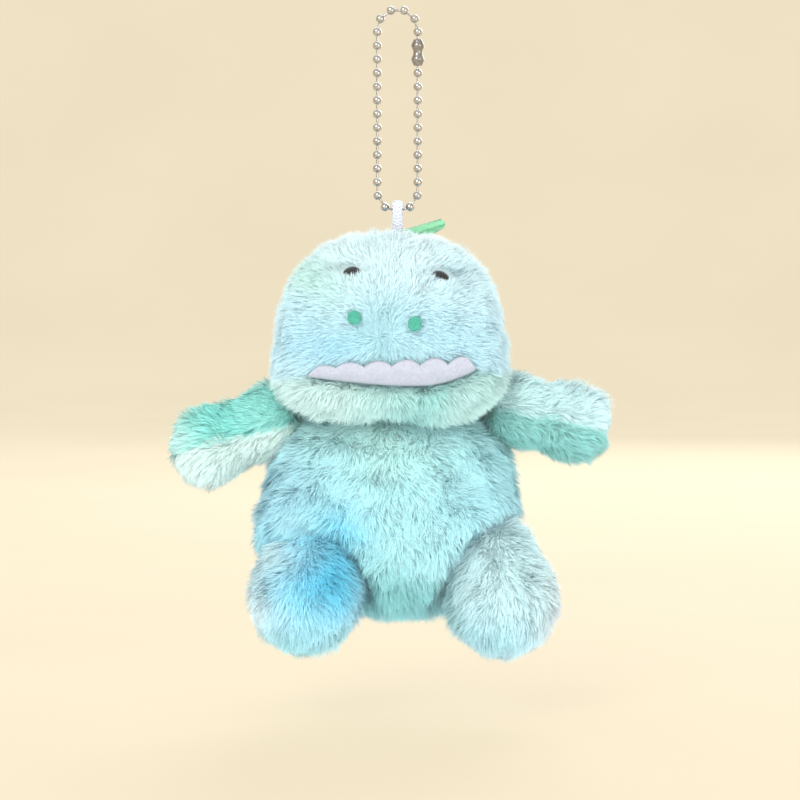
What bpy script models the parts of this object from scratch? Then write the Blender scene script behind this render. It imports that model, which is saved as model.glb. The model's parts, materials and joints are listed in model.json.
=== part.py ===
"""Plush dinosaur keychain: a soft toy on a braided cord loop and a ball chain.

Frame: metres, +Z up, the toy faces -Y and +X is to its viewer's right.
The origin is the hang point: the top of the peg, under the top of the ball chain.
"""

import math

import bmesh
import bpy
from mathutils import Matrix, Vector
from mathutils.bvhtree import BVHTree

MM = 0.001

# Clearances
FIT_GAP = 0.3 * MM  # between pieces of one body that touch on the real toy
SEW_GAP = 0.6 * MM  # round a ball-shaped limb root in its socket
NECK_ROOM = 3.0 * MM  # between head and torso, so that the neck can bend
ARM_ROOM = 1.8 * MM  # between head and arms

# Ball chain
BEAD_COUNT = 33
BEAD_RADIUS = 1.1 * MM
BEAD_PITCH = 3.35 * MM
BEAD_WALL = 0.25 * MM
CHAIN_ARC_RADIUS = 5.0 * MM  # centre line round the peg and round the bottom
PIN_RADIUS = 0.18 * MM
PIN_HEAD_RADIUS = 0.55 * MM
PIN_ROOM = 0.32 * MM  # round the pin in the mouth of the next ball
BEAD_SIDES = 8

# Sheet-metal connector, a U-shaped sleeve that is open towards the back
SLEEVE_WALL = 0.3 * MM
SLEEVE_OVERHANG = 0.45 * MM  # past each end ball

# Braided cord loop
CORD_THICKNESS = 1.4 * MM
CORD_WIDTH = 2.6 * MM
CORD_BEAD_GAP = 0.3 * MM
CORD_LENGTH = 30.5 * MM
CORD_SIDES = 2  # bevel resolution

# Soft toy: covers are plush fabric with its pile, measured to the tips of the pile
PLUSH_X = -1.8 * MM
PILE = 3.5 * MM
HEAD_TOP_BELOW_CORD = 6.4 * MM  # from the outside of the cord loop to the head
HEAD_WIDTH = 59.5 * MM
HEAD_DEPTH = 46.0 * MM
HEAD_HEIGHT = 50.5 * MM
HEAD_FORWARD = 3.5 * MM
HEAD_SQUARENESS = (2.4, 3.8)  # of the crown and of the jaw
HEAD_SIDE_SHARE = 0.93  # of the half width that the sides reach above and below the cheeks
HEAD_FRONT_SHARE = 0.92  # of the half depth, in the same way
CROWN_NARROWING = 0.02
CROWN_SHALLOWING = 0.06
CHEEK_LEVEL = -0.25  # in directions from the middle, -1 at the bottom and 1 at the top
CHEEK_SPREAD = 0.45
CHEEK_SWELL = 0.07
MUZZLE_SWELL = 0.12
CORD_HOLE_RADIUS = 3.7 * MM
CORD_POCKET_DEPTH = 12.0 * MM

TORSO_WIDTH = 64.0 * MM
TORSO_DEPTH = 41.0 * MM
TORSO_HEIGHT = 59.0 * MM
TORSO_SINK = 10.5 * MM  # how far the torso reaches up into the head
TORSO_BACK = 2.5 * MM
NECK_OPENING_RADIUS = 19.2 * MM
TORSO_SQUARENESS = (2.6, 2.6)  # above and below its middle
SHOULDER_NARROWING = 0.12
TORSO_FRONT_SHARE = 0.95
BELLY_LEVEL = -0.25
BELLY_SPREAD = 0.6
BELLY_SWELL = 0.08

# Face
EYE_RADIUS = 2.9 * MM
EYE_CROWN = 0.75  # height of the dome as a share of its radius
EYE_OFFSETS = {"left": (-12.3 * MM, -10.9 * MM), "right": (11.5 * MM, -11.9 * MM)}
EYE_SINK = 1.2 * MM  # of the dome's rim, in its dimple in the plush
EYE_SHANK_RADIUS = 0.9 * MM
EYE_SHANK_LENGTH = 7.0 * MM
WASHER_RADIUS = 3.6 * MM
WASHER_THICKNESS = 1.0 * MM
WASHER_SEAT = 1.7 * MM  # under the cover, which curves away from the flat washer
NOSTRIL_RADIUS = 1.7 * MM
NOSTRIL_THICKNESS = 0.6 * MM
NOSTRIL_OFFSETS = {"left": (-10.3 * MM, -21.7 * MM), "right": (4.2 * MM, -23.3 * MM)}
TEETH_WIDTH = 40.0 * MM
TEETH_HEIGHT = 6.2 * MM
TEETH_CROWN = 1.7 * MM
TEETH_COUNT = 6
TOOTH_STEPS = 4  # points along each crown
TEETH_THICKNESS = 1.0 * MM
TEETH_X = -1.3 * MM
MOUTH_BELOW_TOP = 38.8 * MM
THROAT_FORWARD = 9.4 * MM  # where the chin panel ends, ahead of the head's top centre

# Limbs: (centre of the root ball, centre of the end ball), both from the head's top centre
ARMS = {
    "left": ((-26.4 * MM, 1.0 * MM, -47.0 * MM), (-46.2 * MM, -1.5 * MM, -55.0 * MM)),
    "right": ((28.0 * MM, 1.0 * MM, -45.0 * MM), (46.4 * MM, -1.5 * MM, -48.8 * MM)),
}
ARM_ROOT_RADIUS = 8.3 * MM
ARM_END_RADIUS = 9.3 * MM
ARM_FLATNESS = 0.85
LEGS = {
    "left": ((-19.5 * MM, -5.5 * MM, -86.5 * MM), (-20.8 * MM, -8.0 * MM, -91.0 * MM)),
    "right": ((26.0 * MM, -5.5 * MM, -87.0 * MM), (27.6 * MM, -8.0 * MM, -91.8 * MM)),
}
LEG_ROOT_RADIUS = 14.6 * MM
LEG_END_RADIUS = 15.3 * MM
LEG_SOCKET_SHARE = 0.3  # of the way from root to end, where the hip socket is centred
TAIL = ((0.0, 20.0 * MM, -86.0 * MM), (0.0, 31.5 * MM, -91.0 * MM))
TAIL_ROOT_RADIUS = 7.8 * MM
TAIL_END_RADIUS = 3.6 * MM
LIMB_PILE = 3.0 * MM
TAIL_PILE = 2.0 * MM
LIMB_OPENING_SHARE = 0.55  # of the root ball's radius
ARM_SWING = 15.0  # degrees up and down that the shoulder leaves room for

# Felt spikes along the crest: (angle back from the head's top, sideways lean), both in degrees,
# and the height
SPIKES = {
    "1": (28.0, 62.0, 12.6 * MM),
    "2": (54.0, 0.0, 10.0 * MM),
    "3": (80.0, 0.0, 8.5 * MM),
}
SPIKE_LENGTH = 8.0 * MM  # along the seam
SPIKE_THICKNESS = 1.8 * MM
SPIKE_LIFT = 1.6 * MM  # of the seam above the cover
SPIKE_TIP_SHARES = (0.3, 0.25)  # half width and height of the round tip, of half the length
SPIKE_TIP_STEPS = 6

# Colours: (red, green, blue, roughness, metallic)
STEEL = (0.75, 0.75, 0.77, 0.2, 1.0)
DARK_STEEL = (0.35, 0.34, 0.35, 0.3, 1.0)
WHITE_CORD = (0.88, 0.89, 0.92, 0.8, 0.0)
HEAD_PLUSH = (0.62, 0.90, 0.93, 0.95, 0.0)
CHIN_PLUSH = (0.52, 0.82, 0.76, 0.95, 0.0)
BODY_PLUSH = (0.40, 0.78, 0.82, 0.95, 0.0)
ARM_PLUSH = (0.27, 0.75, 0.66, 0.95, 0.0)
LEG_PLUSH = (0.30, 0.68, 0.85, 0.95, 0.0)
FILLING = (0.90, 0.90, 0.88, 0.95, 0.0)
EYE_BLACK = (0.01, 0.012, 0.015, 0.1, 0.0)
WASHER_PLASTIC = (0.8, 0.8, 0.78, 0.4, 0.0)
GREEN_THREAD = (0.12, 0.56, 0.42, 0.7, 0.0)
WHITE_FELT = (0.73, 0.75, 0.84, 0.9, 0.0)
GREEN_FELT = (0.28, 0.75, 0.41, 0.9, 0.0)

# Places that follow from the sizes above
CHAIN_TOP_Z = BEAD_RADIUS
CHAIN_PERIMETER = BEAD_COUNT * BEAD_PITCH
CHAIN_STRAIGHT = (CHAIN_PERIMETER - 2 * math.pi * CHAIN_ARC_RADIUS) / 2
UPPER_ARC_Z = CHAIN_TOP_Z - CHAIN_ARC_RADIUS
LOWER_ARC_Z = UPPER_ARC_Z - CHAIN_STRAIGHT
CHAIN_BOTTOM_Z = LOWER_ARC_Z - CHAIN_ARC_RADIUS
CORD_BEND_RADIUS = BEAD_RADIUS + CORD_BEAD_GAP + CORD_THICKNESS / 2
CORD_TOP_Z = CHAIN_BOTTOM_Z + CORD_BEND_RADIUS + CORD_THICKNESS / 2
HEAD_TOP = Vector((PLUSH_X, 0.0, CORD_TOP_Z - HEAD_TOP_BELOW_CORD))
HEAD_CENTRE = HEAD_TOP + Vector((0.0, -HEAD_FORWARD, -HEAD_HEIGHT / 2))
HEAD_RADII = Vector((HEAD_WIDTH, HEAD_DEPTH, HEAD_HEIGHT)) / 2
HEAD_BOTTOM_Z = HEAD_TOP.z - HEAD_HEIGHT
TORSO_RADII = Vector((TORSO_WIDTH, TORSO_DEPTH, TORSO_HEIGHT)) / 2
TORSO_TOP_Z = HEAD_BOTTOM_Z + TORSO_SINK
TORSO_CENTRE = Vector((PLUSH_X, TORSO_BACK, TORSO_TOP_Z - TORSO_HEIGHT / 2))

SQUARENESS_BLEND = 0.5  # height of direction over which crown turns into jaw
FORM_SEGMENTS = 20
FORM_RINGS = 13
LIMB_SEGMENTS = 14
LIMB_RINGS = 9
HOLE_SIDES = 12
DISC_SIDES = 14
RIM_SIDES = 16


def clear_scene():
    for obj in list(bpy.data.objects):
        bpy.data.objects.remove(obj, do_unlink=True)


def new_collection(name):
    collection = bpy.data.collections.new(name)
    bpy.context.scene.collection.children.link(collection)
    return collection


clear_scene()
PARTS = new_collection("plush_keychain")
CUTTERS = new_collection("plush_keychain_cutters")


def plain_material(name, look):
    material = bpy.data.materials.new(name)
    material.use_nodes = True
    shader = material.node_tree.nodes["Principled BSDF"]
    shader.inputs["Base Color"].default_value = (look[0], look[1], look[2], 1.0)
    shader.inputs["Roughness"].default_value = look[3]
    shader.inputs["Metallic"].default_value = look[4]
    return material


def add_part(name, bm, look, matrix=None):
    """Turns a bmesh into a named, smooth-shaded sub-part."""
    mesh = bpy.data.meshes.new(name)
    bm.to_mesh(mesh)
    bm.free()
    mesh.shade_smooth()
    mesh.materials.append(plain_material(name + "_look", look))
    obj = bpy.data.objects.new(name, mesh)
    if matrix is not None:
        obj.matrix_world = matrix
    PARTS.objects.link(obj)
    return obj


def add_cutter(name, bm, matrix=None):
    mesh = bpy.data.meshes.new(name)
    bm.to_mesh(mesh)
    bm.free()
    obj = bpy.data.objects.new(name, mesh)
    if matrix is not None:
        obj.matrix_world = matrix
    obj.hide_render = True
    obj.display_type = "WIRE"
    CUTTERS.objects.link(obj)
    return obj


def combine(obj, other, operation="DIFFERENCE"):
    modifier = obj.modifiers.new(operation.lower() + "_" + other.name, "BOOLEAN")
    modifier.operation = operation
    modifier.object = other
    modifier.solver = "EXACT"


# Shapes

def frame_along(point, direction):
    """A matrix at point whose local +Z runs along direction."""
    rotation = Vector(direction).to_track_quat("Z", "Y").to_matrix().to_4x4()
    return Matrix.Translation(point) @ rotation


def turned_mesh(profile, sides):
    """A profile of (radius, height) pairs, top to bottom down its outer side, turned about Z."""
    bm = bmesh.new()
    points = [bm.verts.new((radius, 0.0, height)) for radius, height in profile]
    edges = [bm.edges.new(pair) for pair in zip(points, points[1:])]
    bmesh.ops.spin(
        bm,
        geom=points + edges,
        cent=(0, 0, 0),
        axis=(0, 0, 1),
        angle=2 * math.pi,
        steps=sides,
        use_merge=True,
    )
    bmesh.ops.remove_doubles(bm, verts=bm.verts, dist=0.01 * MM)
    bmesh.ops.recalc_face_normals(bm, faces=bm.faces)
    return bm


def arc_points(radius, centre_height, start, stop, steps):
    """Points of a circle about the axis, by angle from its top, as (radius, height) pairs."""
    angles = [start + (stop - start) * i / steps for i in range(steps + 1)]
    return [(radius * math.sin(a), centre_height + radius * math.cos(a)) for a in angles]


def grow_mesh(bm, amount):
    if amount:
        bm.normal_update()
        moved = [(vert, vert.co + vert.normal * amount) for vert in bm.verts]
        for vert, place in moved:
            vert.co = place


def blended(pair, share):
    """A smooth step from the first value to the second as share goes from 0 to 1."""
    share = min(max(share, 0.0), 1.0)
    return pair[0] + (pair[1] - pair[0]) * share * share * (3 - 2 * share)


def rounded_form(centre, radii, squareness, shaping, grow=0.0):
    """A soft form: a sphere stretched to radii, made squarer and then shaped."""
    bm = bmesh.new()
    bmesh.ops.create_uvsphere(bm, u_segments=FORM_SEGMENTS, v_segments=FORM_RINGS, radius=1.0)
    for vert in bm.verts:
        way = vert.co.normalized()
        power = blended(squareness, 0.5 - 0.5 * way.z / SQUARENESS_BLEND)
        total = sum(abs(part) ** power for part in way)
        reach = total ** (-1.0 / power)
        stretch = shaping(way)
        local = Vector(way[i] * radii[i] * stretch[i] * reach for i in range(3))
        vert.co = centre + local
    grow_mesh(bm, grow)
    return bm


def head_shaping(way):
    """Stretch for wider cheeks low down, a narrower crown and a muzzle that stands forward."""
    crown = max(way.z, 0.0)
    cheeks = math.exp(-((way.z - CHEEK_LEVEL) / CHEEK_SPREAD) ** 2)
    front = max(-way.y, 0.0)
    side = HEAD_SIDE_SHARE + CHEEK_SWELL * cheeks - CROWN_NARROWING * crown
    depth = HEAD_FRONT_SHARE + MUZZLE_SWELL * front * cheeks - CROWN_SHALLOWING * crown
    return side, depth, 1.0


def torso_shaping(way):
    """Stretch for narrow shoulders over a round belly."""
    shoulders = max(way.z, 0.0)
    belly = math.exp(-((way.z - BELLY_LEVEL) / BELLY_SPREAD) ** 2) * max(-way.y, 0.0)
    return 1.0 - SHOULDER_NARROWING * shoulders ** 2, TORSO_FRONT_SHARE + BELLY_SWELL * belly, 1.0


def head_form(grow=0.0):
    return rounded_form(HEAD_CENTRE, HEAD_RADII, HEAD_SQUARENESS, head_shaping, grow)


def torso_form(grow=0.0):
    return rounded_form(TORSO_CENTRE, TORSO_RADII, TORSO_SQUARENESS, torso_shaping, grow)


def limb_ends(ends):
    return HEAD_TOP + Vector(ends[0]), HEAD_TOP + Vector(ends[1])


def limb_form(ends, root_radius, end_radius, flatness=1.0, grow=0.0):
    """A stuffed limb: two balls joined by a taper, with its root ball on the joint."""
    root, end = limb_ends(ends)
    span = (end - root).length
    bm = bmesh.new()
    bmesh.ops.create_uvsphere(bm, u_segments=LIMB_SEGMENTS, v_segments=LIMB_RINGS, radius=1.0)
    for vert in bm.verts:
        far = vert.co.z > 0
        radius = (end_radius if far else root_radius) + grow
        flat = flatness if far else 1.0
        lift = span if far else 0.0
        vert.co = Vector((vert.co.x * radius * flat, vert.co.y * radius, vert.co.z * radius + lift))
    bm.transform(frame_along(root, end - root))
    return bm


def arm_sweep(prefix, side, clearance):
    """The room that an arm needs over its whole swing about the shoulder, as one hull."""
    root, _ = limb_ends(ARMS[side])
    sweep = bmesh.new()
    for angle in (-ARM_SWING, 0.0, ARM_SWING):
        room = limb_form(ARMS[side], ARM_ROOT_RADIUS, ARM_END_RADIUS, 1.0, clearance)
        turn = Matrix.Rotation(math.radians(angle), 3, "Y")
        for vert in room.verts:
            sweep.verts.new(root + turn @ (vert.co - root))
        room.free()
    hull = bmesh.ops.convex_hull(sweep, input=sweep.verts)
    spare = [item for item in hull["geom_interior"] if isinstance(item, bmesh.types.BMVert)]
    bmesh.ops.delete(sweep, geom=spare, context="VERTS")
    bmesh.ops.recalc_face_normals(sweep, faces=sweep.faces)
    return add_cutter(prefix + side, sweep)


def ball_cutter(name, centre, radius):
    bm = bmesh.new()
    bmesh.ops.create_uvsphere(bm, u_segments=LIMB_SEGMENTS + 2, v_segments=LIMB_RINGS + 1, radius=radius)
    return add_cutter(name, bm, Matrix.Translation(centre))


def rod(radius, length, sides):
    """A cylinder from the local origin along +Z."""
    bm = bmesh.new()
    bmesh.ops.create_cone(
        bm, cap_ends=True, segments=sides, radius1=radius, radius2=radius, depth=length
    )
    bmesh.ops.translate(bm, verts=bm.verts, vec=(0, 0, length / 2))
    return bm


def box(low, high):
    bm = bmesh.new()
    bmesh.ops.create_cube(bm, size=1.0)
    low, high = Vector(low), Vector(high)
    for vert in bm.verts:
        vert.co = Vector(
            low[i] if vert.co[i] < 0 else high[i] for i in range(3)
        )
    return bm


# Ball chain

def chain_point(distance):
    """The chain's centre line: distance along it, clockwise from its top, seen from the front."""
    quarter = math.pi / 2 * CHAIN_ARC_RADIUS
    distance %= CHAIN_PERIMETER
    if distance > CHAIN_PERIMETER / 2:
        mirrored = chain_point(CHAIN_PERIMETER - distance)
        return Vector((-mirrored.x, 0.0, mirrored.z))
    if distance < quarter:
        angle = distance / CHAIN_ARC_RADIUS
        return Vector((math.sin(angle), 0.0, math.cos(angle))) * CHAIN_ARC_RADIUS + Vector(
            (0, 0, UPPER_ARC_Z)
        )
    if distance < quarter + CHAIN_STRAIGHT:
        return Vector((CHAIN_ARC_RADIUS, 0.0, UPPER_ARC_Z - (distance - quarter)))
    angle = (distance - quarter - CHAIN_STRAIGHT) / CHAIN_ARC_RADIUS
    return Vector((math.cos(angle), 0.0, -math.sin(angle))) * CHAIN_ARC_RADIUS + Vector(
        (0, 0, LOWER_ARC_Z)
    )


# The first ball is the connector's lower one; the numbers run down the right side from it.
FIRST_BEAD_DISTANCE = 4.5 * BEAD_PITCH


def bead_place(number):
    return chain_point(FIRST_BEAD_DISTANCE + (number - 1) * BEAD_PITCH)


def ball_mesh():
    """A hollow ball, closed above and with a round mouth below for the next pin."""
    inner = BEAD_RADIUS - BEAD_WALL
    mouth = PIN_RADIUS + PIN_ROOM
    outer_end = math.pi - math.asin(mouth / BEAD_RADIUS)
    inner_end = math.pi - math.asin(mouth / inner)
    outside = arc_points(BEAD_RADIUS, 0.0, 0.0, outer_end, 4)
    inside = arc_points(inner, 0.0, inner_end, 0.0, 2)
    return turned_mesh(outside + inside, BEAD_SIDES)


def pin_mesh(length):
    """A pin from inside the ball's wall to its head, which sits in the next ball."""
    root = BEAD_RADIUS - BEAD_WALL / 2
    neck = PIN_HEAD_RADIUS * math.cos(math.asin(PIN_RADIUS / PIN_HEAD_RADIUS))
    head = arc_points(PIN_HEAD_RADIUS, length, 0.0, math.pi / 2, 2)
    shank = [(PIN_RADIUS, length - neck), (PIN_RADIUS, root), (0.0, root)]
    bm = turned_mesh(head + shank, BEAD_SIDES)
    bmesh.ops.rotate(
        bm, verts=bm.verts, cent=(0, 0, 0), matrix=Matrix.Rotation(math.pi / BEAD_SIDES, 3, "Z")
    )
    return bm


def build_chain():
    for number in range(1, BEAD_COUNT + 1):
        here = bead_place(number)
        before = bead_place(number - 1)
        after = bead_place(number + 1)
        name = f"bead_{number:02d}"
        bead = add_part(name, ball_mesh(), STEEL, frame_along(here, here - before))
        if number < BEAD_COUNT:
            link = after - here
            pin = add_cutter(name + "_pin", pin_mesh(link.length), frame_along(here, link))
            combine(bead, pin, "UNION")


def build_connector():
    """A U-shaped sleeve round the two end balls, with a slot at each end for their pins."""
    upper, lower = bead_place(BEAD_COUNT), bead_place(1)
    middle = (upper + lower) / 2
    inner = BEAD_RADIUS + FIT_GAP
    outer = inner + SLEEVE_WALL
    half = (upper - lower).length / 2 + BEAD_RADIUS + SLEEVE_OVERHANG
    sleeve = add_part(
        "chain_connector",
        box((-outer, -outer, -half), (outer, outer, half)),
        DARK_STEEL,
        Matrix.Translation(middle),
    )
    room = half - SLEEVE_WALL
    hollow = add_cutter(
        "connector_hollow",
        box((-inner, -inner, -room), (inner, 2 * outer, room)),
        Matrix.Translation(middle),
    )
    slot = PIN_RADIUS + PIN_ROOM
    slots = add_cutter(
        "connector_slots",
        box((-slot, -slot, -2 * half), (slot, 2 * outer, 2 * half)),
        Matrix.Translation(middle),
    )
    combine(sleeve, hollow)
    combine(sleeve, slots)


def build_cord():
    """A flat braid in the YZ plane: up from the head, over the bottom ball and down again."""
    bend = math.pi * CORD_BEND_RADIUS
    leg = (CORD_LENGTH - bend) / 2
    leg_steps, bend_steps = 5, 12
    route = [(-CORD_BEND_RADIUS, -leg * (1 - i / leg_steps)) for i in range(leg_steps)]
    for i in range(bend_steps + 1):
        angle = math.pi * (1 - i / bend_steps)
        route.append((CORD_BEND_RADIUS * math.cos(angle), CORD_BEND_RADIUS * math.sin(angle)))
    route += [(CORD_BEND_RADIUS, -leg * (i + 1) / leg_steps) for i in range(leg_steps)]
    curve = bpy.data.curves.new("cord_route", "CURVE")
    curve.dimensions = "3D"
    curve.bevel_depth = CORD_THICKNESS / 2
    curve.bevel_resolution = CORD_SIDES
    curve.use_fill_caps = True
    spline = curve.splines.new("POLY")
    spline.points.add(len(route) - 1)
    for point, (across, up) in zip(spline.points, route):
        point.co = (0.0, across, up, 1.0)
    drawn = bpy.data.objects.new("cord_route", curve)
    CUTTERS.objects.link(drawn)
    bpy.context.view_layer.update()
    depsgraph = bpy.context.evaluated_depsgraph_get()
    mesh = bpy.data.meshes.new_from_object(drawn.evaluated_get(depsgraph))
    bpy.data.objects.remove(drawn)
    bm = bmesh.new()
    bm.from_mesh(mesh)
    bpy.data.meshes.remove(mesh)
    bmesh.ops.remove_doubles(bm, verts=bm.verts, dist=0.01 * MM)
    bmesh.ops.scale(bm, verts=bm.verts, vec=(CORD_WIDTH / CORD_THICKNESS, 1.0, 1.0))
    place = Matrix.Translation((0.0, 0.0, CHAIN_BOTTOM_Z))
    add_part("cord_loop", bm, WHITE_CORD, place)


# Head

def surface_finder(bm):
    tree = BVHTree.FromBMesh(bm)
    bm.free()
    return tree


def front_point(tree, x, z):
    """Where a line from the front at x, z meets a form, and the form's outward direction there."""
    place, normal, _, _ = tree.ray_cast(Vector((x, -1.0, z)), Vector((0, 1, 0)))
    return place, normal


def chin_region(clearance):
    """The block that holds the chin panel, from the mouth down and back to the throat."""
    mouth_z = HEAD_TOP.z - MOUTH_BELOW_TOP
    reach = HEAD_WIDTH
    front = HEAD_CENTRE.y - HEAD_DEPTH
    back = HEAD_TOP.y - THROAT_FORWARD
    return box(
        (PLUSH_X - reach, front, mouth_z - HEAD_HEIGHT),
        (PLUSH_X + reach, back + clearance, mouth_z + clearance),
    )


def build_head():
    neck_room = add_cutter("neck_room", torso_form(NECK_ROOM))
    arm_rooms = [arm_sweep("head_arm_room_", side, ARM_ROOM) for side in ARMS]
    cord_room = add_cutter(
        "cord_room",
        rod(CORD_HOLE_RADIUS, 2 * CORD_POCKET_DEPTH, RIM_SIDES),
        Matrix.Translation((0.0, 0.0, HEAD_TOP.z - CORD_POCKET_DEPTH)),
    )
    inside = add_cutter("head_inside", head_form(-PILE))
    cover = add_part("head_cover", head_form(), HEAD_PLUSH)
    chin = add_part("chin_cover", chin_region(0.0), CHIN_PLUSH)
    filling = add_part("head_filling", head_form(-PILE - 2 * FIT_GAP), FILLING)
    combine(chin, add_cutter("head_outside", head_form()), "INTERSECT")
    combine(chin, neck_room)
    combine(chin, inside)
    combine(cover, inside)
    combine(cover, add_cutter("chin_block", chin_region(FIT_GAP)))
    for cutter in [neck_room, *arm_rooms, cord_room]:
        combine(cover, cutter)
        combine(filling, cutter)
    for cutter in arm_rooms:
        combine(chin, cutter)
    build_eyes(cover, filling)


def build_eyes(cover, filling):
    outer = surface_finder(head_form())
    for side, (x, drop) in EYE_OFFSETS.items():
        place, normal = front_point(outer, x, HEAD_TOP.z + drop)
        outward = frame_along(place, normal)
        inward = frame_along(place, -normal)
        dome = arc_points(EYE_RADIUS, 0.0, 0.0, math.pi / 2, 4)
        dome = [(radius, height * EYE_CROWN - EYE_SINK) for radius, height in dome]
        shank = [
            (EYE_SHANK_RADIUS, -EYE_SINK),
            (EYE_SHANK_RADIUS, -EYE_SHANK_LENGTH),
            (0.0, -EYE_SHANK_LENGTH - EYE_SHANK_RADIUS),
        ]
        add_part("eye_" + side, turned_mesh(dome + shank, DISC_SIDES), EYE_BLACK, outward)
        hole = rod(EYE_SHANK_RADIUS + FIT_GAP, EYE_SHANK_LENGTH + EYE_RADIUS, HOLE_SIDES)
        bmesh.ops.translate(hole, verts=hole.verts, vec=(0, 0, -EYE_RADIUS))
        combine(cover, add_cutter("eye_hole_" + side, hole, inward))
        dimple = rod(EYE_RADIUS + FIT_GAP, EYE_RADIUS + EYE_SINK, RIM_SIDES)
        bmesh.ops.translate(dimple, verts=dimple.verts, vec=(0, 0, FIT_GAP - EYE_RADIUS))
        combine(cover, add_cutter("eye_dimple_" + side, dimple, inward))
        build_washer(side, inward, PILE + WASHER_SEAT)
        pocket = rod(WASHER_RADIUS + FIT_GAP, EYE_SHANK_LENGTH + EYE_RADIUS, DISC_SIDES)
        combine(filling, add_cutter("eye_pocket_" + side, pocket, inward))


def build_washer(side, inward, start):
    stop = start + WASHER_THICKNESS
    bore = EYE_SHANK_RADIUS + FIT_GAP
    washer = rod(WASHER_RADIUS, WASHER_THICKNESS, DISC_SIDES)
    bmesh.ops.translate(washer, verts=washer.verts, vec=(0, 0, start))
    part = add_part("eye_washer_" + side, washer, WASHER_PLASTIC, inward)
    drill = rod(bore, 2 * stop, HOLE_SIDES)
    combine(part, add_cutter("washer_bore_" + side, drill, inward))


def build_nostrils():
    outer = surface_finder(head_form(FIT_GAP))
    for side, (x, drop) in NOSTRIL_OFFSETS.items():
        place, normal = front_point(outer, x, HEAD_TOP.z + drop)
        dot = rod(NOSTRIL_RADIUS, NOSTRIL_THICKNESS, HOLE_SIDES)
        add_part("nostril_" + side, dot, GREEN_THREAD, frame_along(place + normal * FIT_GAP, normal))


def teeth_outline():
    """A strip with round crowns on its upper edge, as (x, z) points."""
    left = TEETH_X - TEETH_WIDTH / 2
    base_z = HEAD_TOP.z - MOUTH_BELOW_TOP + FIT_GAP
    pitch = TEETH_WIDTH / TEETH_COUNT
    points = [(left, base_z), (left + TEETH_WIDTH, base_z)]
    for tooth in reversed(range(TEETH_COUNT)):
        for step in range(TOOTH_STEPS):
            share = 1 - (step + 0.5) / TOOTH_STEPS
            crown = math.sin(math.pi * share) * TEETH_CROWN
            points.append((left + (tooth + share) * pitch, base_z + TEETH_HEIGHT - TEETH_CROWN + crown))
    return points


def build_teeth():
    """Felt teeth, sewn in at the mouth and lying up against the muzzle."""
    bm = bmesh.new()
    front = HEAD_CENTRE.y - HEAD_DEPTH
    corners = [bm.verts.new((x, front, z)) for x, z in teeth_outline()]
    face = bm.faces.new(corners)
    swept = bmesh.ops.extrude_face_region(bm, geom=[face])["geom"]
    moved = [item for item in swept if isinstance(item, bmesh.types.BMVert)]
    bmesh.ops.translate(bm, verts=moved, vec=(0, HEAD_CENTRE.y - front, 0))
    bmesh.ops.recalc_face_normals(bm, faces=bm.faces)
    teeth = add_part("teeth_strip", bm, WHITE_FELT)
    outside = add_cutter("teeth_outside", head_form(FIT_GAP + TEETH_THICKNESS))
    combine(teeth, outside, "INTERSECT")
    combine(teeth, add_cutter("teeth_inside", head_form(FIT_GAP)))


# Torso and limbs

def build_limb(name, ends, radii, pile, flatness, look):
    """A plush cover with an opening at its root, and the filling inside it."""
    root, end = limb_ends(ends)
    cover = add_part(name[0], limb_form(ends, *radii, flatness), look)
    inner = add_cutter(name[0] + "_inside", limb_form(ends, *radii, flatness, -pile))
    combine(cover, inner)
    opening = rod(radii[0] * LIMB_OPENING_SHARE, radii[0], HOLE_SIDES)
    mouth = add_cutter(name[0] + "_opening", opening, frame_along(root, root - end))
    mouth.location = root + (root - end).normalized() * (radii[0] - 2 * pile)
    combine(cover, mouth)
    add_part(name[1], limb_form(ends, *radii, flatness, -pile - FIT_GAP), FILLING)


def build_torso():
    cover = add_part("torso_cover", torso_form(), BODY_PLUSH)
    filling = add_part("torso_filling", torso_form(-PILE - FIT_GAP), FILLING)
    neck = rod(NECK_OPENING_RADIUS, TORSO_SINK, FORM_SEGMENTS)
    neck_place = Matrix.Translation((PLUSH_X, TORSO_BACK, TORSO_TOP_Z - 1.6 * PILE))
    combine(cover, add_cutter("neck_opening", neck, neck_place))
    sockets = [ball_cutter("tail_socket", limb_ends(TAIL)[0], TAIL_ROOT_RADIUS + SEW_GAP)]
    sockets += [arm_sweep("torso_arm_room_", side, SEW_GAP) for side in ARMS]
    for socket in sockets:
        combine(cover, socket)
        combine(filling, socket)
    for side, ends in LEGS.items():
        root, end = limb_ends(ends)
        reach = (end - root).length + LEG_END_RADIUS
        centre = root + (end - root) * LEG_SOCKET_SHARE
        socket = ball_cutter("leg_socket_" + side, centre, (reach + LEG_ROOT_RADIUS) / 2)
        combine(cover, socket)
        combine(filling, socket)
    combine(cover, add_cutter("torso_inside", torso_form(-PILE)))


def build_limbs():
    for side, ends in ARMS.items():
        radii = (ARM_ROOT_RADIUS, ARM_END_RADIUS)
        names = ("arm_cover_" + side, "arm_filling_" + side)
        build_limb(names, ends, radii, LIMB_PILE, ARM_FLATNESS, ARM_PLUSH)
    for side, ends in LEGS.items():
        radii = (LEG_ROOT_RADIUS, LEG_END_RADIUS)
        names = ("leg_cover_" + side, "leg_filling_" + side)
        build_limb(names, ends, radii, LIMB_PILE, 1.0, LEG_PLUSH)
    radii = (TAIL_ROOT_RADIUS, TAIL_END_RADIUS)
    build_limb(("tail_cover", "tail_filling"), TAIL, radii, TAIL_PILE, 1.0, BODY_PLUSH)


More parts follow.
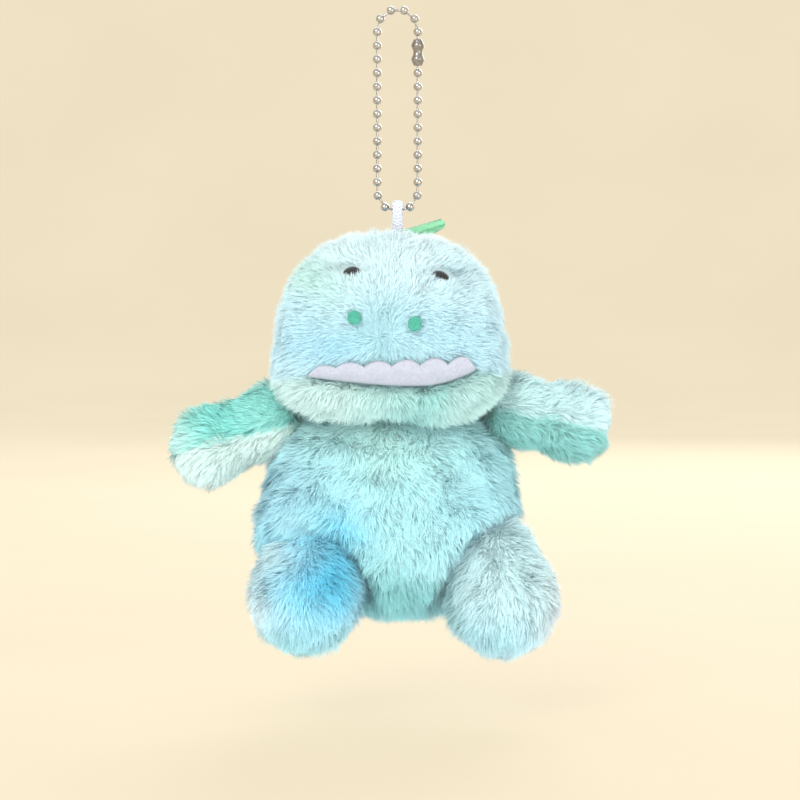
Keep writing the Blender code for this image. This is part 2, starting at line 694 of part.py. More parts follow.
def spike_mesh(height):
    """A felt fin that stands on the local Y axis, with a rounded tip, and is thickened along X."""
    bm = bmesh.new()
    half = SPIKE_LENGTH / 2
    tip_width, tip_height = SPIKE_TIP_SHARES[0] * half, SPIKE_TIP_SHARES[1] * half
    outline = [(-half, 0.0), (half, 0.0)]
    for step in range(SPIKE_TIP_STEPS + 1):
        angle = math.pi * step / SPIKE_TIP_STEPS
        outline.append((tip_width * math.cos(angle), height - tip_height * (1 - math.sin(angle))))
    corners = [bm.verts.new((-SPIKE_THICKNESS / 2, y, z)) for y, z in outline]
    face = bm.faces.new(corners)
    swept = bmesh.ops.extrude_face_region(bm, geom=[face])["geom"]
    moved = [item for item in swept if isinstance(item, bmesh.types.BMVert)]
    bmesh.ops.translate(bm, verts=moved, vec=(SPIKE_THICKNESS, 0, 0))
    bmesh.ops.recalc_face_normals(bm, faces=bm.faces)
    return bm


def crest_place(tree, angle):
    """A point on the head's middle seam, by its angle back from the top, and the way out there."""
    out = Vector((0.0, math.sin(angle), math.cos(angle)))
    place, _, _, _ = tree.ray_cast(HEAD_CENTRE + out, -out)
    return place, out


def build_spikes():
    tree = surface_finder(head_form())
    for number, (angle, lean, height) in SPIKES.items():
        place, out = crest_place(tree, math.radians(angle))
        stand = Matrix.Rotation(-math.radians(angle), 4, "X")
        tilt = Matrix.Rotation(math.radians(lean), 4, "Y")
        seat = Matrix.Translation(place + out * SPIKE_LIFT)
        add_part("spike_" + number, spike_mesh(height), GREEN_FELT, seat @ stand @ tilt)


build_chain()
build_connector()
build_cord()
build_head()
build_nostrils()
build_teeth()
build_torso()
build_limbs()
build_spikes()
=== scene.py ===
"""The looks of a plush keychain: a furry stuffed animal on a braided cord and a steel ball chain."""

import json
import math

import bmesh
import bpy
import numpy as np
from mathutils import Matrix, Vector
from mathutils.bvhtree import BVHTree
from mathutils.kdtree import KDTree

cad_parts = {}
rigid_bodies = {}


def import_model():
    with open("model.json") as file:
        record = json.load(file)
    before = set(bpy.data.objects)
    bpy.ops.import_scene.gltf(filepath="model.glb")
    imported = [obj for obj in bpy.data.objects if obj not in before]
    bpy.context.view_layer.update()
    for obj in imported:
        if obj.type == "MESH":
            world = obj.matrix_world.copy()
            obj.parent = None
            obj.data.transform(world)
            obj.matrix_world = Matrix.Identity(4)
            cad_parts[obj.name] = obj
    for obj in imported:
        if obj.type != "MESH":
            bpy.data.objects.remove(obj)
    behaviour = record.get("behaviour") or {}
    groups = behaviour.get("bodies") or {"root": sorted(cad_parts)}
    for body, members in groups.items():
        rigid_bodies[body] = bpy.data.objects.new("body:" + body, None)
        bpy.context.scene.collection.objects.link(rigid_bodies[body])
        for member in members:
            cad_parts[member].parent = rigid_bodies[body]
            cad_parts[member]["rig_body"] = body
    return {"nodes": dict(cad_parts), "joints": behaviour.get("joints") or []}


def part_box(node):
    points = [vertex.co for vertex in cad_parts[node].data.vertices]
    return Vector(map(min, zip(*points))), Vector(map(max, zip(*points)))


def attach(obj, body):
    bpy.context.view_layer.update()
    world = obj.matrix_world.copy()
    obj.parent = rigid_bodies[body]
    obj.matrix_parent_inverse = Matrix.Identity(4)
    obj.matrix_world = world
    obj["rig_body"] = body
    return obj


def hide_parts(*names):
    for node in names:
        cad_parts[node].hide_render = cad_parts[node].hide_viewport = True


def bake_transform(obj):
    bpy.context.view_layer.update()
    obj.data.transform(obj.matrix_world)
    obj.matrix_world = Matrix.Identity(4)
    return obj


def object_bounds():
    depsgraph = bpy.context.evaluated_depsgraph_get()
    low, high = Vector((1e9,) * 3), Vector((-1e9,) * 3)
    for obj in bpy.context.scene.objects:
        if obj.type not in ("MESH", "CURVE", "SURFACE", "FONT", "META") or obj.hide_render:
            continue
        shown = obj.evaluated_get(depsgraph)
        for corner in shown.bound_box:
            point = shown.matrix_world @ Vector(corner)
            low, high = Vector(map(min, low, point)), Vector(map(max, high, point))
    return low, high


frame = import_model()
CAD_LOW, CAD_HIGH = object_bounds()

MM = 0.001
SEED = 11

# Chain, the same as in the CAD part
BEAD_COUNT = 33
BEAD_RADIUS = 1.1 * MM
BEAD_PITCH = 3.35 * MM
CHAIN_ARC_RADIUS = 5.0 * MM
CHAIN_PERIMETER = BEAD_COUNT * BEAD_PITCH
CHAIN_STRAIGHT = (CHAIN_PERIMETER - 2 * math.pi * CHAIN_ARC_RADIUS) / 2
UPPER_ARC_Z = BEAD_RADIUS - CHAIN_ARC_RADIUS
LOWER_ARC_Z = UPPER_ARC_Z - CHAIN_STRAIGHT
CHAIN_BOTTOM_Z = LOWER_ARC_Z - CHAIN_ARC_RADIUS
FIRST_BEAD_DISTANCE = 4.5 * BEAD_PITCH
PIN_RADIUS = 0.3 * MM
PIN_HEAD_RADIUS = 0.6 * MM

# Cord, the same route as in the CAD part
CORD_WIDTH = 2.6 * MM
CORD_THICKNESS = 1.4 * MM
CORD_LENGTH = 30.5 * MM
CORD_BEND_RADIUS = BEAD_RADIUS + 0.3 * MM + CORD_THICKNESS / 2

# Pile of the plush, from the backing cloth to the tips
PILE = 3.5 * MM
LIMB_PILE = 3.0 * MM
TAIL_PILE = 2.0 * MM


def box_centre(node):
    low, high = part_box(node)
    return (low + high) / 2


def smooth_step(value, low, high):
    share = np.clip((value - low) / (high - low), 0.0, 1.0)
    return share * share * (3 - 2 * share)


def bell(value, width):
    """1 at zero, falling off smoothly to both sides."""
    return np.exp(-(value / width) ** 2)


def unit(vectors):
    return vectors / np.maximum(np.linalg.norm(vectors, axis=-1, keepdims=True), 1e-12)


# Camera

VIEW_TARGET = Vector((0.62, 0.0, -95.1)) * MM
VIEW_DISTANCE = 0.62
VIEW_HEIGHT_DEGREES = 3.0
LENS = 112.5


def add_camera():
    data = bpy.data.cameras.new("camera")
    data.lens = LENS
    data.sensor_width = 36.0
    data.clip_start = 0.01
    camera = bpy.data.objects.new("camera", data)
    bpy.context.scene.collection.objects.link(camera)
    rise = math.radians(VIEW_HEIGHT_DEGREES)
    back = Vector((0.0, -math.cos(rise), math.sin(rise)))
    camera.location = VIEW_TARGET + back * VIEW_DISTANCE
    camera.rotation_mode = "QUATERNION"
    camera.rotation_quaternion = (-back).to_track_quat("-Z", "Y")
    bpy.context.scene.camera = camera


# Objects and materials

def new_object(name, mesh, *materials):
    obj = bpy.data.objects.new(name, mesh)
    bpy.context.scene.collection.objects.link(obj)
    for material in materials:
        mesh.materials.append(material)
    mesh.shade_smooth()
    return obj


def object_from_bmesh(name, bm, *materials):
    mesh = bpy.data.meshes.new(name)
    bm.to_mesh(mesh)
    bm.free()
    return new_object(name, mesh, *materials)


class Nodes:
    """A material's node tree, with short ways to add and join nodes."""

    def __init__(self, name):
        self.material = bpy.data.materials.new(name)
        self.material.use_nodes = True
        self.tree = self.material.node_tree
        self.shader = self.tree.nodes["Principled BSDF"]

    def add(self, kind, **inputs):
        node = self.tree.nodes.new(kind)
        for key, value in inputs.items():
            if key in node.inputs:
                node.inputs[key].default_value = value
        return node

    def join(self, out, into):
        self.tree.links.new(out, into)

    def set(self, **values):
        for key, value in values.items():
            self.shader.inputs[key.replace("_", " ")].default_value = value

    def paint(self, colour):
        self.join(colour, self.shader.inputs["Base Color"])

    def stored_dye_and_shade(self):
        node = self.add("ShaderNodeAttribute")
        # the dye attribute holds each colour with its painted shade multiplied in
        node.attribute_name = "dye"
        return node.outputs["Color"]

    def noise(self, scale, detail=3.0, roughness=0.55, distortion=0.0):
        coords = self.add("ShaderNodeTexCoord")
        node = self.add(
            "ShaderNodeTexNoise", Scale=scale, Detail=detail, Roughness=roughness, Distortion=distortion
        )
        self.join(coords.outputs["Object"], node.inputs["Vector"])
        return node.outputs["Fac"]

    def ramp(self, fac, *stops):
        node = self.add("ShaderNodeValToRGB")
        elements = node.color_ramp.elements
        while len(elements) < len(stops):
            elements.new(0.5)
        for element, (place, colour) in zip(elements, stops):
            element.position = place
            element.color = (*colour, 1.0)
        self.join(fac, node.inputs["Fac"])
        return node.outputs["Color"]

    def tinted(self, colour, fac, low, high):
        """The colour multiplied by a grey that runs from low to high with fac."""
        mix = self.add("ShaderNodeMix")
        mix.data_type = "RGBA"
        mix.blend_type = "MULTIPLY"
        mix.inputs["Factor"].default_value = 1.0
        self.join(colour, mix.inputs["A"])
        self.join(self.ramp(fac, (0.25, (low,) * 3), (0.75, (high,) * 3)), mix.inputs["B"])
        return mix.outputs["Result"]

    def bump(self, height, distance, strength=1.0):
        node = self.add("ShaderNodeBump", Strength=strength, Distance=distance)
        self.join(height, node.inputs["Height"])
        self.join(node.outputs["Normal"], self.shader.inputs["Normal"])


def steel_material(name, bright, dark, roughness):
    nodes = Nodes(name)
    nodes.set(Metallic=1.0, Roughness=roughness)
    wear = nodes.noise(900.0, 4.0)
    nodes.paint(nodes.ramp(wear, (0.3, dark), (0.7, bright)))
    rough = nodes.add("ShaderNodeMapRange")
    rough.inputs["To Min"].default_value = roughness * 0.7
    rough.inputs["To Max"].default_value = roughness * 1.6
    nodes.join(nodes.noise(2500.0, 2.0), rough.inputs["Value"])
    nodes.join(rough.outputs["Result"], nodes.shader.inputs["Roughness"])
    nodes.bump(nodes.noise(1800.0, 2.0), 0.01 * MM, 0.4)
    return nodes.material


def fibre_material(name, bright, dark, scale, bump, sheen=0.3):
    """Felt, thread or braid: matted fibres with a little variation in colour."""
    nodes = Nodes(name)
    nodes.set(Roughness=0.85, Sheen_Weight=sheen, Sheen_Roughness=0.5)
    fleck = nodes.noise(scale, 6.0, 0.7, 0.6)
    nodes.paint(nodes.ramp(fleck, (0.3, dark), (0.65, bright)))
    nodes.bump(nodes.noise(scale * 1.7, 6.0, 0.75), bump, 0.8)
    return nodes.material


def fur_material(name):
    """Pile: every strand's own dye, with painted shade from root to tip, is stored on it, and a fine
    grain breaks it up.
    """
    nodes = Nodes(name)
    nodes.set(Roughness=0.62, Sheen_Weight=0.35, Sheen_Roughness=0.4, Specular_IOR_Level=0.3)
    nodes.paint(nodes.tinted(nodes.stored_dye_and_shade(), nodes.noise(700.0, 2.0), 0.93, 1.05))
    return nodes.material


def backing_material(name):
    """The knitted cloth that the pile stands on, which only shows between strands; its dye is darkened
    as painted shade.
    """
    nodes = Nodes(name)
    nodes.set(Roughness=0.9, Sheen_Weight=0.3)
    knit = nodes.noise(1500.0, 3.0)
    nodes.paint(nodes.tinted(nodes.stored_dye_and_shade(), knit, 0.8, 1.0))
    nodes.bump(knit, 0.1 * MM)
    return nodes.material


def eye_material():
    nodes = Nodes("eye_gloss")
    nodes.set(Roughness=0.12, Coat_Weight=0.4, Coat_Roughness=0.05, Specular_IOR_Level=0.35)
    depth = nodes.noise(300.0, 2.0)
    dark, light = (0.006, 0.007, 0.009), (0.014, 0.016, 0.02)
    nodes.paint(nodes.ramp(depth, (0.3, dark), (0.7, light)))
    return nodes.material


# Ball chain

def chain_point(distance):
    """The chain's centre line, by distance clockwise from its top, seen from the front."""
    quarter = math.pi / 2 * CHAIN_ARC_RADIUS
    distance %= CHAIN_PERIMETER
    if distance > CHAIN_PERIMETER / 2:
        mirrored = chain_point(CHAIN_PERIMETER - distance)
        return Vector((-mirrored.x, 0.0, mirrored.z))
    if distance < quarter:
        angle = distance / CHAIN_ARC_RADIUS
        turned = Vector((math.sin(angle), 0.0, math.cos(angle)))
        return turned * CHAIN_ARC_RADIUS + Vector((0, 0, UPPER_ARC_Z))
    if distance < quarter + CHAIN_STRAIGHT:
        return Vector((CHAIN_ARC_RADIUS, 0.0, UPPER_ARC_Z - (distance - quarter)))
    angle = (distance - quarter - CHAIN_STRAIGHT) / CHAIN_ARC_RADIUS
    turned = Vector((math.cos(angle), 0.0, -math.sin(angle)))
    return turned * CHAIN_ARC_RADIUS + Vector((0, 0, LOWER_ARC_Z))


def bead_place(number):
    return chain_point(FIRST_BEAD_DISTANCE + (number - 1) * BEAD_PITCH)


def frame_along(point, direction):
    return Matrix.Translation(point) @ direction.to_track_quat("Z", "Y").to_matrix().to_4x4()


def turned(bm, profile, sides, matrix):
    """Adds the surface that a profile of (radius, height) points sweeps round local Z."""
    rings = []
    for radius, height in profile:
        if radius < 1e-7:
            rings.append([bm.verts.new(matrix @ Vector((0, 0, height)))])
            continue
        ring = []
        for i in range(sides):
            angle = 2 * math.pi * i / sides
            local = Vector((radius * math.cos(angle), radius * math.sin(angle), height))
            ring.append(bm.verts.new(matrix @ local))
        rings.append(ring)
    for low, high in zip(rings, rings[1:]):
        for i in range(sides):
            j = (i + 1) % sides
            corners = [low[i % len(low)], low[j % len(low)], high[j % len(high)], high[i % len(high)]]
            bm.faces.new(list(dict.fromkeys(corners)))


def add_grid(bm, grid, flip=False):
    """Joins rows of vertices with four-sided faces."""
    for low, high in zip(grid, grid[1:]):
        for i in range(len(low) - 1):
            corners = [low[i], low[i + 1], high[i + 1], high[i]]
            bm.faces.new(corners[::-1] if flip else corners)


def add_skin(bm, rings):
    """Joins closed rings of vertices with faces and caps both ends."""
    for low, high in zip(rings, rings[1:]):
        for i in range(len(low)):
            j = (i + 1) % len(low)
            bm.faces.new((low[i], low[j], high[j], high[i]))
    bm.faces.new(list(reversed(rings[0])))
    bm.faces.new(rings[-1])


def bead_profile():
    """A pressed ball: two lips rolled in round its holes and a faint seam at its middle."""
    lip = 0.62 * MM
    start = math.acos(lip / BEAD_RADIUS)
    steps = 18
    points = [(0.0, -0.7 * BEAD_RADIUS), (0.42 * MM, -0.72 * BEAD_RADIUS)]
    points.append((lip * 0.9, -BEAD_RADIUS * math.sin(start)))
    for i in range(steps + 1):
        angle = -start + 2 * start * i / steps
        seam = 0.985 if i == steps // 2 else 1.0
        points.append((BEAD_RADIUS * math.cos(angle) * seam, BEAD_RADIUS * math.sin(angle)))
    points.append((lip * 0.9, BEAD_RADIUS * math.sin(start)))
    points += [(0.42 * MM, 0.72 * BEAD_RADIUS), (0.0, 0.7 * BEAD_RADIUS)]
    return points


def pin_profile(length):
    """A link pin with a round head at each end, inside the two balls that it joins."""
    points = []
    steps = 6
    reach = math.acos(PIN_RADIUS / PIN_HEAD_RADIUS)
    for i in range(steps + 1):
        angle = -math.pi / 2 + (math.pi / 2 + reach) * i / steps
        points.append((PIN_HEAD_RADIUS * math.cos(angle), PIN_HEAD_RADIUS * math.sin(angle)))
    middle = [(PIN_RADIUS, length * 0.4), (PIN_RADIUS * 0.94, length * 0.5), (PIN_RADIUS, length * 0.6)]
    return points + middle + [(radius, length - height) for radius, height in reversed(points)]


def add_chain(steel):
    sides = 20
    for number in range(1, BEAD_COUNT + 1):
        here = bead_place(number)
        before, after = bead_place(number - 1), bead_place(number + 1)
        bm = bmesh.new()
        turned(bm, bead_profile(), sides, frame_along(here, after - before))
        if number < BEAD_COUNT:
            link = after - here
            turned(bm, pin_profile(link.length), sides // 2, frame_along(here, link))
        name = f"bead_{number:02d}"
        bead = object_from_bmesh("ball_" + name, bm, steel)
        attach(bead, frame["nodes"][name]["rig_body"])
        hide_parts(name)


def add_connector(dark_steel):
    """A pressed sleeve with a bulge over each end ball, a waist between and an open back."""
    low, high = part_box("chain_connector")
    middle, half = (low + high) / 2, (high - low) / 2
    rows, columns = 28, 24
    open_angle = math.radians(62)
    wall = 0.22 * MM
    ball_height = BEAD_PITCH / 2
    bm = bmesh.new()
    grid = []
    for row in range(rows + 1):
        up = -1 + 2 * row / rows
        height = up * half.z
        bulge = math.exp(-((abs(height) - ball_height) / (0.85 * MM)) ** 2)
        radius = half.x - wall - (1 - bulge) * 0.5 * MM
        mouth = smooth_step(abs(up), 0.9, 1.0) * 0.2 * MM
        line = []
        for column in range(columns + 1):
            angle = open_angle + (2 * math.pi - 2 * open_angle) * column / columns
            across = math.sin(angle) * (radius - mouth)
            back = math.cos(angle) * (radius - mouth)
            line.append(bm.verts.new(middle + Vector((across, back, height))))
        grid.append(line)
    add_grid(bm, grid)
    bmesh.ops.recalc_face_normals(bm, faces=bm.faces)
    sleeve = object_from_bmesh("snap_connector", bm, dark_steel)
    thick = sleeve.modifiers.new("thickness", "SOLIDIFY")
    thick.thickness = wall
    thick.offset = 0.0
    bevel = sleeve.modifiers.new("edges", "BEVEL")
    bevel.width = 0.05 * MM
    bevel.segments = 2
    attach(sleeve, "connector")
    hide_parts("chain_connector")


# Cord

def cord_route():
    """The cord's centre line: up out of the head, over the bottom ball and down again."""
    leg = (CORD_LENGTH - math.pi * CORD_BEND_RADIUS) / 2
    leg_steps, bend_steps = 5, 12
    route = [(-CORD_BEND_RADIUS, -leg * (1 - i / leg_steps)) for i in range(leg_steps)]
    for i in range(bend_steps + 1):
        angle = math.pi * (1 - i / bend_steps)
        route.append((CORD_BEND_RADIUS * math.cos(angle), CORD_BEND_RADIUS * math.sin(angle)))
    route += [(CORD_BEND_RADIUS, -leg * (i + 1) / leg_steps) for i in range(leg_steps)]
    return [Vector((0.0, across, up + CHAIN_BOTTOM_Z)) for across, up in route]


def along(route, share):
    """A point at a share of the route's length, and the direction there."""
    lengths = [(b - a).length for a, b in zip(route, route[1:])]
    left = share * sum(lengths)
    for a, b, length in zip(route, route[1:], lengths):
        if left <= length or b is route[-1]:
            return a.lerp(b, left / length), (b - a).normalized()
        left -= length


def add_cord(braid):
    """Eight flat yarns that pass over and under each other round the cord's core."""
    route = cord_route()
    yarns, steps, sides = 8, 260, 8
    turns = 9.0
    core_share, weave = 0.74, 0.1
    across = Vector((1, 0, 0))
    bm = bmesh.new()

    def ring(centre, direction, wide, thick, count):
        out = across.cross(direction)
        corners = []
        for i in range(count):
            angle = 2 * math.pi * i / count
            offset = across * (wide * math.cos(angle)) + out * (thick * math.sin(angle))
            corners.append(bm.verts.new(centre + offset))
        return corners

    core = []
    for step in range(61):
        centre, direction = along(route, step / 60)
        core.append(ring(centre, direction, CORD_WIDTH * 0.38, CORD_THICKNESS * 0.34, 16))
    add_skin(bm, core)
    for yarn in range(yarns):
        hand = 1 if yarn % 2 else -1
        phase = 2 * math.pi * (yarn // 2) / (yarns / 2)
        rings = []
        for step in range(steps + 1):
            share = step / steps
            centre, direction = along(route, share)
            out = across.cross(direction)
            angle = phase + hand * 2 * math.pi * turns * share
            lift = core_share + weave * hand * math.sin(yarns / 2 * angle)
            wide = CORD_WIDTH / 2 * lift
            thick = CORD_THICKNESS / 2 * (lift + 0.02)
            place = centre + across * (wide * math.cos(angle)) + out * (thick * math.sin(angle))
            rings.append(ring(place, direction, 0.34 * MM, 0.2 * MM, sides))
        add_skin(bm, rings)
    bmesh.ops.recalc_face_normals(bm, faces=bm.faces)
    cord = object_from_bmesh("braided_cord", bm, braid)
    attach(cord, "cord")
    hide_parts("cord_loop")


# Stuffed forms

def tree_of(*names):
    """A search tree over the faces of CAD nodes."""
    points, faces = [], []
    for name in names:
        mesh = frame["nodes"][name].data
        start = len(points)
        points += [vert.co.copy() for vert in mesh.vertices]
        faces += [[start + i for i in face.vertices] for face in mesh.polygons]
    return BVHTree.FromPolygons(points, faces)


def mesh_tree(mesh):
    points = [vert.co.copy() for vert in mesh.vertices]
    return BVHTree.FromPolygons(points, [tuple(face.vertices) for face in mesh.polygons])


def spread_values(values, edges, known, rounds):
    """Evens out a value over a mesh; where known is 1 it only moves a little."""
    count = len(values)
    degree = np.bincount(edges.ravel(), minlength=count)
    for _ in range(rounds):
        total = np.bincount(edges[:, 0], values[edges[:, 1]], count)
        total += np.bincount(edges[:, 1], values[edges[:, 0]], count)
        values = np.where(known > 0, values * (1 - known) + known * total / degree, values)
    return values


def wrapped_form(name, cad_nodes, covered_by, inset, detail=6, relax=14):
    """A closed skin just inside CAD nodes, carried on smoothly under what is sewn over them."""
    body, hiders = tree_of(*cad_nodes), tree_of(*covered_by) if covered_by else None
    centre = box_centre(cad_nodes[0])
    bm = bmesh.new()
    bmesh.ops.create_icosphere(bm, subdivisions=detail, radius=1.0)
    ways = [vert.co.normalized() for vert in bm.verts]
    reach = 0.2
    radii, follow = np.full(len(ways), np.nan), np.full(len(ways), 0.5)
    for i, way in enumerate(ways):
        place = body.ray_cast(centre + way * reach, -way)[0]
        if place is not None:
            radii[i] = (place - centre).length
        if place is None or (hiders and hiders.ray_cast(centre, way)[0] is not None):
            follow[i] = 1.0
    radii = np.where(np.isnan(radii), np.nanmean(radii), radii)
    edges = np.array([[vert.index for vert in edge.verts] for edge in bm.edges])
    radii = spread_values(radii, edges, np.where(follow == 1.0, 1.0, 0.0), 900)
    radii = spread_values(radii, edges, np.full(len(ways), 0.5), relax)
    for vert, way, radius in zip(bm.verts, ways, radii):
        vert.co = centre + way * (radius - inset)
    return object_from_bmesh(name, bm)


def points_of(obj):
    points = np.zeros(len(obj.data.vertices) * 3)
    obj.data.vertices.foreach_get("co", points)
    return points.reshape(-1, 3)


def normals_of(obj):
    obj.data.update()
    normals = np.zeros(len(obj.data.vertices) * 3)
    obj.data.vertices.foreach_get("normal", normals)
    return normals.reshape(-1, 3)


def set_points(obj, points):
    obj.data.vertices.foreach_set("co", points.astype(np.float32).ravel())
    obj.data.update()


def dent(points, centre, radius, shift):
    """Moves the points near a centre by a shift that fades away over the radius."""
    weight = np.exp(-np.sum(((points - np.array(centre)) / radius) ** 2, axis=1))
    return points + weight[:, None] * np.array(shift)


# Dyes, as linear colours of the pile

CROWN_DYE = (0.88, 0.99, 0.98)
FOREHEAD_DYE = (0.70, 0.93, 0.97)
MINT_DYE = (0.60, 0.90, 0.80)
SKY_DYE = (0.47, 0.81, 0.93)
AQUA_DYE = (0.46, 0.80, 0.84)
CHIN_DYE = (0.62, 0.87, 0.82)
CHIN_SHADE_DYE = (0.36, 0.76, 0.71)
BODY_DYE = (0.56, 0.94, 0.97)
# A light green: partly the body's green dye and partly painted light that lifts the shade under the chin
# and at the arms' roots
BODY_GREEN_AND_PAINTED_LIGHT_DYE = (0.66, 0.99, 0.92)
BELLY_DYE = (0.25, 0.64, 0.62)
TEAL_DYE = (0.28, 0.84, 0.76)
PALE_DYE = (0.78, 0.96, 0.90)
BLUE_DYE = (0.16, 0.76, 0.99)
WHITE_DYE = (0.75, 0.99, 0.99)


def cloudy(points, scale, seed):
    """A soft random field from -1 to 1 made of a few waves in seeded directions."""
    rng = np.random.default_rng(seed)
    total = np.zeros(len(points))
    waves = 7
    for _ in range(waves):
        way = unit(rng.normal(size=3))
        length = scale * rng.uniform(0.6, 1.6)
        total += np.sin(points @ way * (2 * math.pi / length) + rng.uniform(0, 2 * math.pi))
    return total / math.sqrt(waves)


def dyed(points, base, origin, patches, seed):
    """Tie-dye: each patch is (offset in mm, size in mm, colour, strength), with a wandering edge."""
    wander = np.stack([cloudy(points, 22 * MM, seed + i) for i in range(3)], axis=1) * 2.5 * MM
    colour = np.tile(np.array(base, float), (len(points), 1))
    for offset, size, patch, strength in patches:
        centre = [place + shift * MM for place, shift in zip(origin, offset)]
        size = [extent * MM for extent in size]
        away = np.sum(((points + wander - np.array(centre)) / np.array(size)) ** 2, axis=1)
        weight = strength * np.exp(-away)
        colour += (np.array(patch) - colour) * weight[:, None]
    return colour


def set_dye_and_shade(mesh, colours):
    # the dye attribute also carries the painted shade given to the colours
    layer = mesh.attributes.new("dye", "FLOAT_COLOR", "POINT")
    filled = np.ones((len(colours), 4), np.float32)
    filled[:, :3] = colours
    layer.data.foreach_set("color", filled.ravel())


# Pile

STRAND_ROWS = 2


def surface_samples(obj, density, rng):
    """Random points over a mesh with their normals."""
    mesh = obj.data
    mesh.calc_loop_triangles()
    corners = np.zeros(len(mesh.loop_triangles) * 3, np.int32)
    mesh.loop_triangles.foreach_get("vertices", corners)
    corners = corners.reshape(-1, 3)
    points, normals = points_of(obj), normals_of(obj)
    a, b, c = (points[corners[:, i]] for i in range(3))
    area = np.linalg.norm(np.cross(b - a, c - a), axis=1) / 2
    count = int(area.sum() / MM ** 2 * density)
    chosen = rng.choice(len(area), size=count, p=area / area.sum())
    u, v = rng.random(count), rng.random(count)
    folded = u + v > 1
    u, v = np.where(folded, 1 - u, u), np.where(folded, 1 - v, v)
    weights = np.stack([1 - u - v, u, v], axis=1)[:, :, None]
    places = np.sum(points[corners[chosen]] * weights, axis=1)
    return places, unit(np.sum(normals[corners[chosen]] * weights, axis=1))


def tangential(vectors, normals):
    return vectors - normals * np.sum(vectors * normals, axis=1, keepdims=True)


def is_inside(points, tree, depth):
    """Which points lie deeper than depth inside a closed mesh."""
    inside = np.zeros(len(points), bool)
    for i, point in enumerate(points):
        place, normal, _, _ = tree.find_nearest(Vector(point))
        inside[i] = (Vector(point) - place).dot(normal) < -depth
    return inside


def clump_centres(tips, rng, size):
    """For each strand, the index of the strand at the middle of its tuft."""
    count = max(len(tips) // size, 1)
    chosen = rng.choice(len(tips), count, replace=False)
    tree = KDTree(count)
    for index in chosen:
        tree.insert(tips[index], int(index))
    tree.balance()
    return np.array([tree.find(tip)[1] for tip in tips])


def grow_fur(name, backing, material, look, flow, dye, keep=None, length_at=None):
    """Pile as tapered ribbons on a backing: look holds its density, length, width, lean and tufts."""
    rng = np.random.default_rng(look["seed"])
    roots, normals = surface_samples(backing, look["density"], rng)
    if keep is not None:
        kept = keep(roots)
        roots, normals = roots[kept], normals[kept]
    count = len(roots)
    comb = unit(tangential(flow(roots), normals))
    ruffle = look["ruffle"]
    swirl = np.stack([cloudy(roots, 9 * MM, look["seed"] + 20 + i) for i in range(3)], axis=1)
    comb = unit(tangential(comb + swirl * ruffle + rng.normal(size=(count, 3)) * 0.25, normals))
    lean = look["lean"] * (1 + 0.35 * cloudy(roots, 6 * MM, look["seed"] + 30))
    lean = np.clip(lean + rng.normal(size=count) * 0.12, 0.1, 1.35)[:, None]
    length = look["length"] * rng.uniform(0.78, 1.12, count)
    length *= 1 + 0.12 * cloudy(roots, 5 * MM, look["seed"] + 40)
    if length_at is not None:
        length *= length_at(roots)
    step = (length / STRAND_ROWS)[:, None]
    line = [roots - normals * 0.25 * MM]
    for row in range(STRAND_ROWS):
        angle = lean * (0.6 + 0.6 * row)
        line.append(line[-1] + step * (normals * np.cos(angle) + comb * np.sin(angle)))
    middle = clump_centres(line[-1], rng, look["tuft"])
    for row in range(1, STRAND_ROWS + 1):
        pull = look["pull"] * (row / STRAND_ROWS) ** 1.3
        strength = (pull * rng.uniform(0.6, 1.0, count))[:, None]
        line[row] = line[row] + (line[row][middle] - line[row]) * strength
    return strands(name, line, normals, comb, rng, material, look, dye)


def strands(name, line, normals, comb, rng, material, look, dye):
    """The mesh of the pile: each strand is a bent ribbon that ends in a point."""
    count = len(normals)
    direction = unit(line[-1] - line[0])
    side = unit(np.cross(direction, normals) + comb * 1e-4)
    turn = rng.uniform(-0.9, 0.9, count)[:, None]
    out = np.cross(side, direction)
    side = side * np.cos(turn) + out * np.sin(turn)
    width = look["width"] * rng.uniform(0.75, 1.25, count)[:, None] / 2
    verts = []
    for row, share in enumerate((1.0, 0.85)):
        verts += [line[row] - side * width * share, line[row] + side * width * share]
    verts.append(line[-1])
    per = len(verts)
    points = np.stack(verts, axis=1).reshape(-1, 3)
    faces = np.array([0, 1, 3, 2, 2, 3, 4])
    loops = (faces[None, :] + per * np.arange(count)[:, None]).ravel()
    sizes = np.tile([4, 3], count)
    mesh = bpy.data.meshes.new(name)
    mesh.vertices.add(len(points))
    mesh.vertices.foreach_set("co", points.astype(np.float32).ravel())
    mesh.loops.add(len(loops))
    mesh.loops.foreach_set("vertex_index", loops.astype(np.int32))
    mesh.polygons.add(len(sizes))
    mesh.polygons.foreach_set("loop_start", (np.cumsum(sizes) - sizes).astype(np.int32))
    mesh.update(calc_edges=True)
    mesh.validate()
    paint_strands(mesh, line, rng, per, dye, look)
    map_strands(mesh, count, len(faces))
    obj = new_object(name, mesh, material)
    facing = unit(np.cross(side, direction))
    facing *= np.sign(np.sum(facing * normals, axis=1, keepdims=True))
    blend = look["smooth"]
    soft = unit(normals * blend + facing * (1 - blend))
    mesh.normals_split_custom_set_from_vertices(np.repeat(soft, per, axis=0).astype(np.float32))
    return obj


def paint_strands(mesh, line, rng, per, dye, look):
    """Each strand takes the dye at its root, with painted shade along it: darker and richer at the root,
    where the pile shades itself, and a little paler at its tip.
    """
    count = len(line[0])
    colour = dye(line[0]) * (1 + rng.normal(size=(count, 1)) * look["mottle"])
    # painted shade: the rows run from dark at the root to pale at the tip
    shades = np.array([look["root_shade"], 0.95, 1.04])
    rows = np.array([0, 0, 1, 1, 2])
    shade = shades[rows][None, :, None]
    base = colour[:, None, :] * shade
    # painted shade: the root is made richer as well as darker
    shaded_colour = base ** np.where(rows == 0, 1.35, 1.0)[None, :, None]
    set_dye_and_shade(mesh, np.clip(shaded_colour.reshape(-1, 3), 0.0, 1.0)[: count * per])


